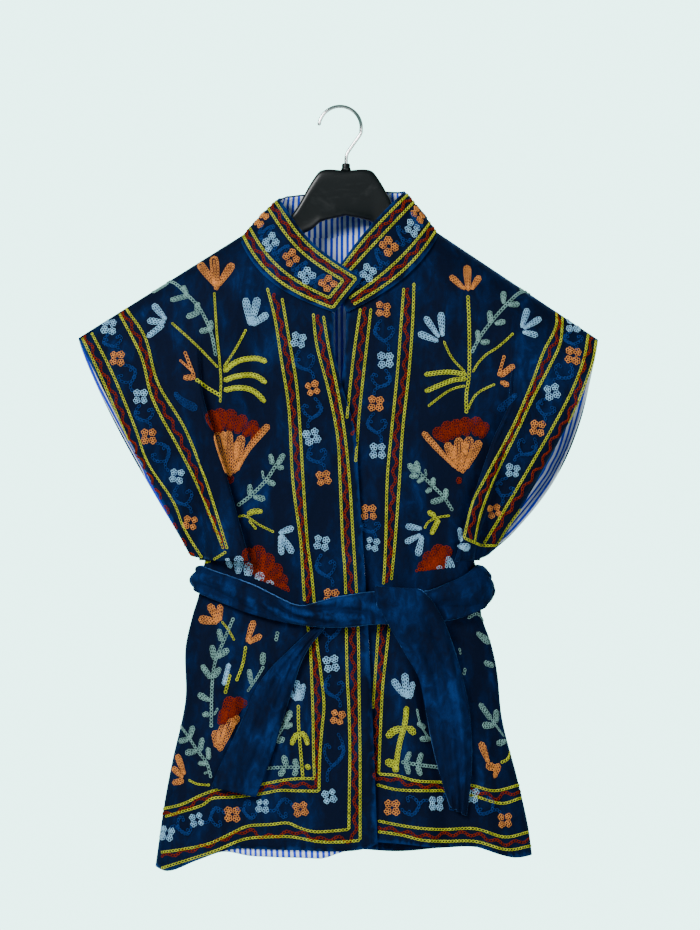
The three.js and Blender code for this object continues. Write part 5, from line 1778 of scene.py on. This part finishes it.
def sewCollar(dice):
    grid = collarFace
    middle = grid[grid.shape[0] // 2]
    gone = lineLengths(middle)
    places = np.linspace(-1, 1, len(middle))
    total = gone[-1]

    def sew(colour, marks, shares, pitch, width):
        # marks are millimetres along the collar's middle line, shares are shares of its height
        spots = list(zip(np.interp(marks, gone, places), shares))
        chainThrough("collar", colour, collarHits(spots), pitch, width)

    first, last = 5.5, total - 9
    for low, high, inset in ((0.09, 0.915, 0.0), (0.265, 0.74, 10.5)):
        along = np.arange(first + inset, last, 3.0)
        end = np.linspace(low, high, 14)
        sew("lime", np.full(14, first + inset), end, stitch["pitch"], stitch["lineWidth"])
        sew("lime", along, np.full(len(along), high), stitch["pitch"], stitch["lineWidth"])
        sew("lime", along, np.full(len(along), low), stitch["pitch"], stitch["lineWidth"])
    for share in (0.175, 0.83):
        along = np.arange(first + 5.5, last, 1.5)
        swing = 0.034 * np.sin(2 * math.pi * along / (stitch["zigzagWave"] * 1.05) + share * 9)
        sew("rust", along, share + swing, 4.0, stitch["zigzagWidth"])
    end = np.linspace(0.175, 0.83, 30)
    sew("rust", first + 5.2 + 1.2 * np.sin(end * 20), end, 4.0, stitch["zigzagWidth"])

    high = 62  # the collar's height where the stitches are counted
    spots = []
    firstMarks, lastMarks = [28, 53, 80, 112], total - np.array([118, 80, 42, 12])
    marks = np.concatenate([firstMarks, np.arange(146, total - 130, 31), lastMarks])
    for k, mark in enumerate(marks):
        colour = "orange" if k % 2 == 0 else "sky"
        spots.append((mark, 0.45 if k % 2 else 0.53, colour))
    for mark, share, colour in spots:
        for ring in petalRings(0, 0, dice.uniform(0.4, 1.1), dice.uniform(1.0, 1.12), dice):
            ring = np.array(ring)
            shares = share + ring[:, 1] / high
            sew(colour, mark + ring[:, 0], shares, stitch["petalPitch"], stitch["petalWidth"])
            knot = ring[:-1].mean(axis=0)
            across = np.array([-1.3, 1.3])
            sew(colour, mark + knot[0] + across, share + knot[1] / high + 0 * across, 3.0, 2.6)
    for (mark, share, _), (nextMark, nextShare, _) in zip(spots, spots[1:]):
        t = np.linspace(0.3, 0.72, 12)
        bend = 0.15 * np.sin((t - 0.3) / 0.42 * 2 * np.pi)
        sew("deepBlue", lerp(mark, nextMark, t), lerp(share, nextShare, t) + bend, 4.0, stitch["vineWidth"])
        for way in (-1, 1):
            curl = np.array([(0.5, 0), (0.45, 0.10), (0.36, 0.17), (0.30, 0.12)])
            curl = smoothLine([(a, way * b) for a, b in curl])
            sew("deepBlue", lerp(mark, nextMark, curl[:, 0]), 0.49 + curl[:, 1], 4.0, stitch["vineWidth"])


def paintThread(name, colour):
    # Wool thread: twisted fibres, and each link a little lighter or darker than the next
    paint = Paint(name, {"Specular IOR Level": 0.05})
    tone = paint.node("Attribute", dict(attribute_name="tone"), {}, out="Fac")
    fibres = paint.noise(paint.objectPlace(), 2400, detail=2, rough=0.6)
    dark = tuple(0.55 * part for part in colour[:3]) + (1,)
    light = tuple(min(1.0, 1.25 * part) for part in colour[:3]) + (1,)
    base = paint.blend(tone, dark, light)
    fleck = paint.blend(paint.span(fibres, 0.3, 0.7), (0.78, 0.78, 0.78, 1), (1.14, 1.14, 1.14, 1))
    shade = paint.blend(1.0, base, fleck, "MULTIPLY")
    paint.feed(Base_Color=shade, Roughness=0.72 + 0.2 * fibres, Normal=paint.bump(fibres, 0.5, 0.0004))
    return paint.material


def makeLinks(colour, region, dice):
    # All the links of one thread on one panel, as one mesh
    rows = np.array(chains[colour, region])
    start, end, facing, width = rows[:, 0:3], rows[:, 3:6], rows[:, 6:9], rows[:, 9]
    facing = facing / np.linalg.norm(facing, axis=1, keepdims=True)
    along = end - start
    length = np.linalg.norm(along, axis=1)
    along /= np.maximum(length, 1e-6)[:, None]
    facing -= (facing * along).sum(axis=1, keepdims=True) * along
    facing /= np.maximum(np.linalg.norm(facing, axis=1, keepdims=True), 1e-6)
    across = np.cross(facing, along)
    tilt = dice.uniform(0.5, 1.5, len(rows)) * stitch["tilt"]
    along = along + facing * tilt[:, None]
    middle = (start + end) / 2 + facing * stitch["lift"]
    size = np.stack([length * stitch["overlap"], width, np.minimum(width, 4.2)], axis=1)
    points = (
        middle[:, None]
        + linkPoints[None, :, 0:1] * size[:, None, 0:1] * along[:, None]
        + linkPoints[None, :, 1:2] * size[:, None, 1:2] * across[:, None]
        + linkPoints[None, :, 2:3] * size[:, None, 2:3] * facing[:, None]
    )
    step = len(linkPoints)
    faces = (linkFaces[None] + (np.arange(len(rows)) * step)[:, None, None]).reshape(-1, 4)
    name = colour + "Thread" + nodeWords[region]
    data = bpy.data.meshes.new(name)
    data.from_pydata((points.reshape(-1, 3) * millimetre).tolist(), [], faces.tolist())
    tone = data.attributes.new("tone", "FLOAT", "POINT")
    tone.data.foreach_set("value", np.repeat(dice.uniform(0.2, 0.9, len(rows)), step).astype(np.float32))
    data.materials.append(threadPaints[colour])
    data.polygons.foreach_set("use_smooth", np.ones(len(faces), bool))
    piece = bpy.data.objects.new(name, data)
    bpy.context.scene.collection.objects.link(piece)
    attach(piece, root)
    return piece


threadPaints = {colour: paintThread(colour + "Thread", shade) for colour, shade in threadColours.items()}
sewFronts(np.random.default_rng(7))
sewBack(np.random.default_rng(11))
sewCollar(np.random.default_rng(13))
threadPieces = {}
linkDice = np.random.default_rng(5)
for colour, region in sorted(chains):
    threadPieces.setdefault(region, []).append(makeLinks(colour, region, linkDice))
print("embroidery is sewn:", sum(len(rows) for rows in chains.values()), "links")
def makeFloor():
    shape = bmesh.new()
    bmesh.ops.create_grid(shape, x_segments=20, y_segments=20, size=2.0)
    for corner in shape.verts:
        corner.co.z = studio["floorDrop"]
    data = bpy.data.meshes.new("floor")
    shape.to_mesh(data)
    shape.free()
    data.materials.append(paintFloor())
    floor = bpy.data.objects.new("floor", data)
    bpy.context.scene.collection.objects.link(floor)


makeFloor()
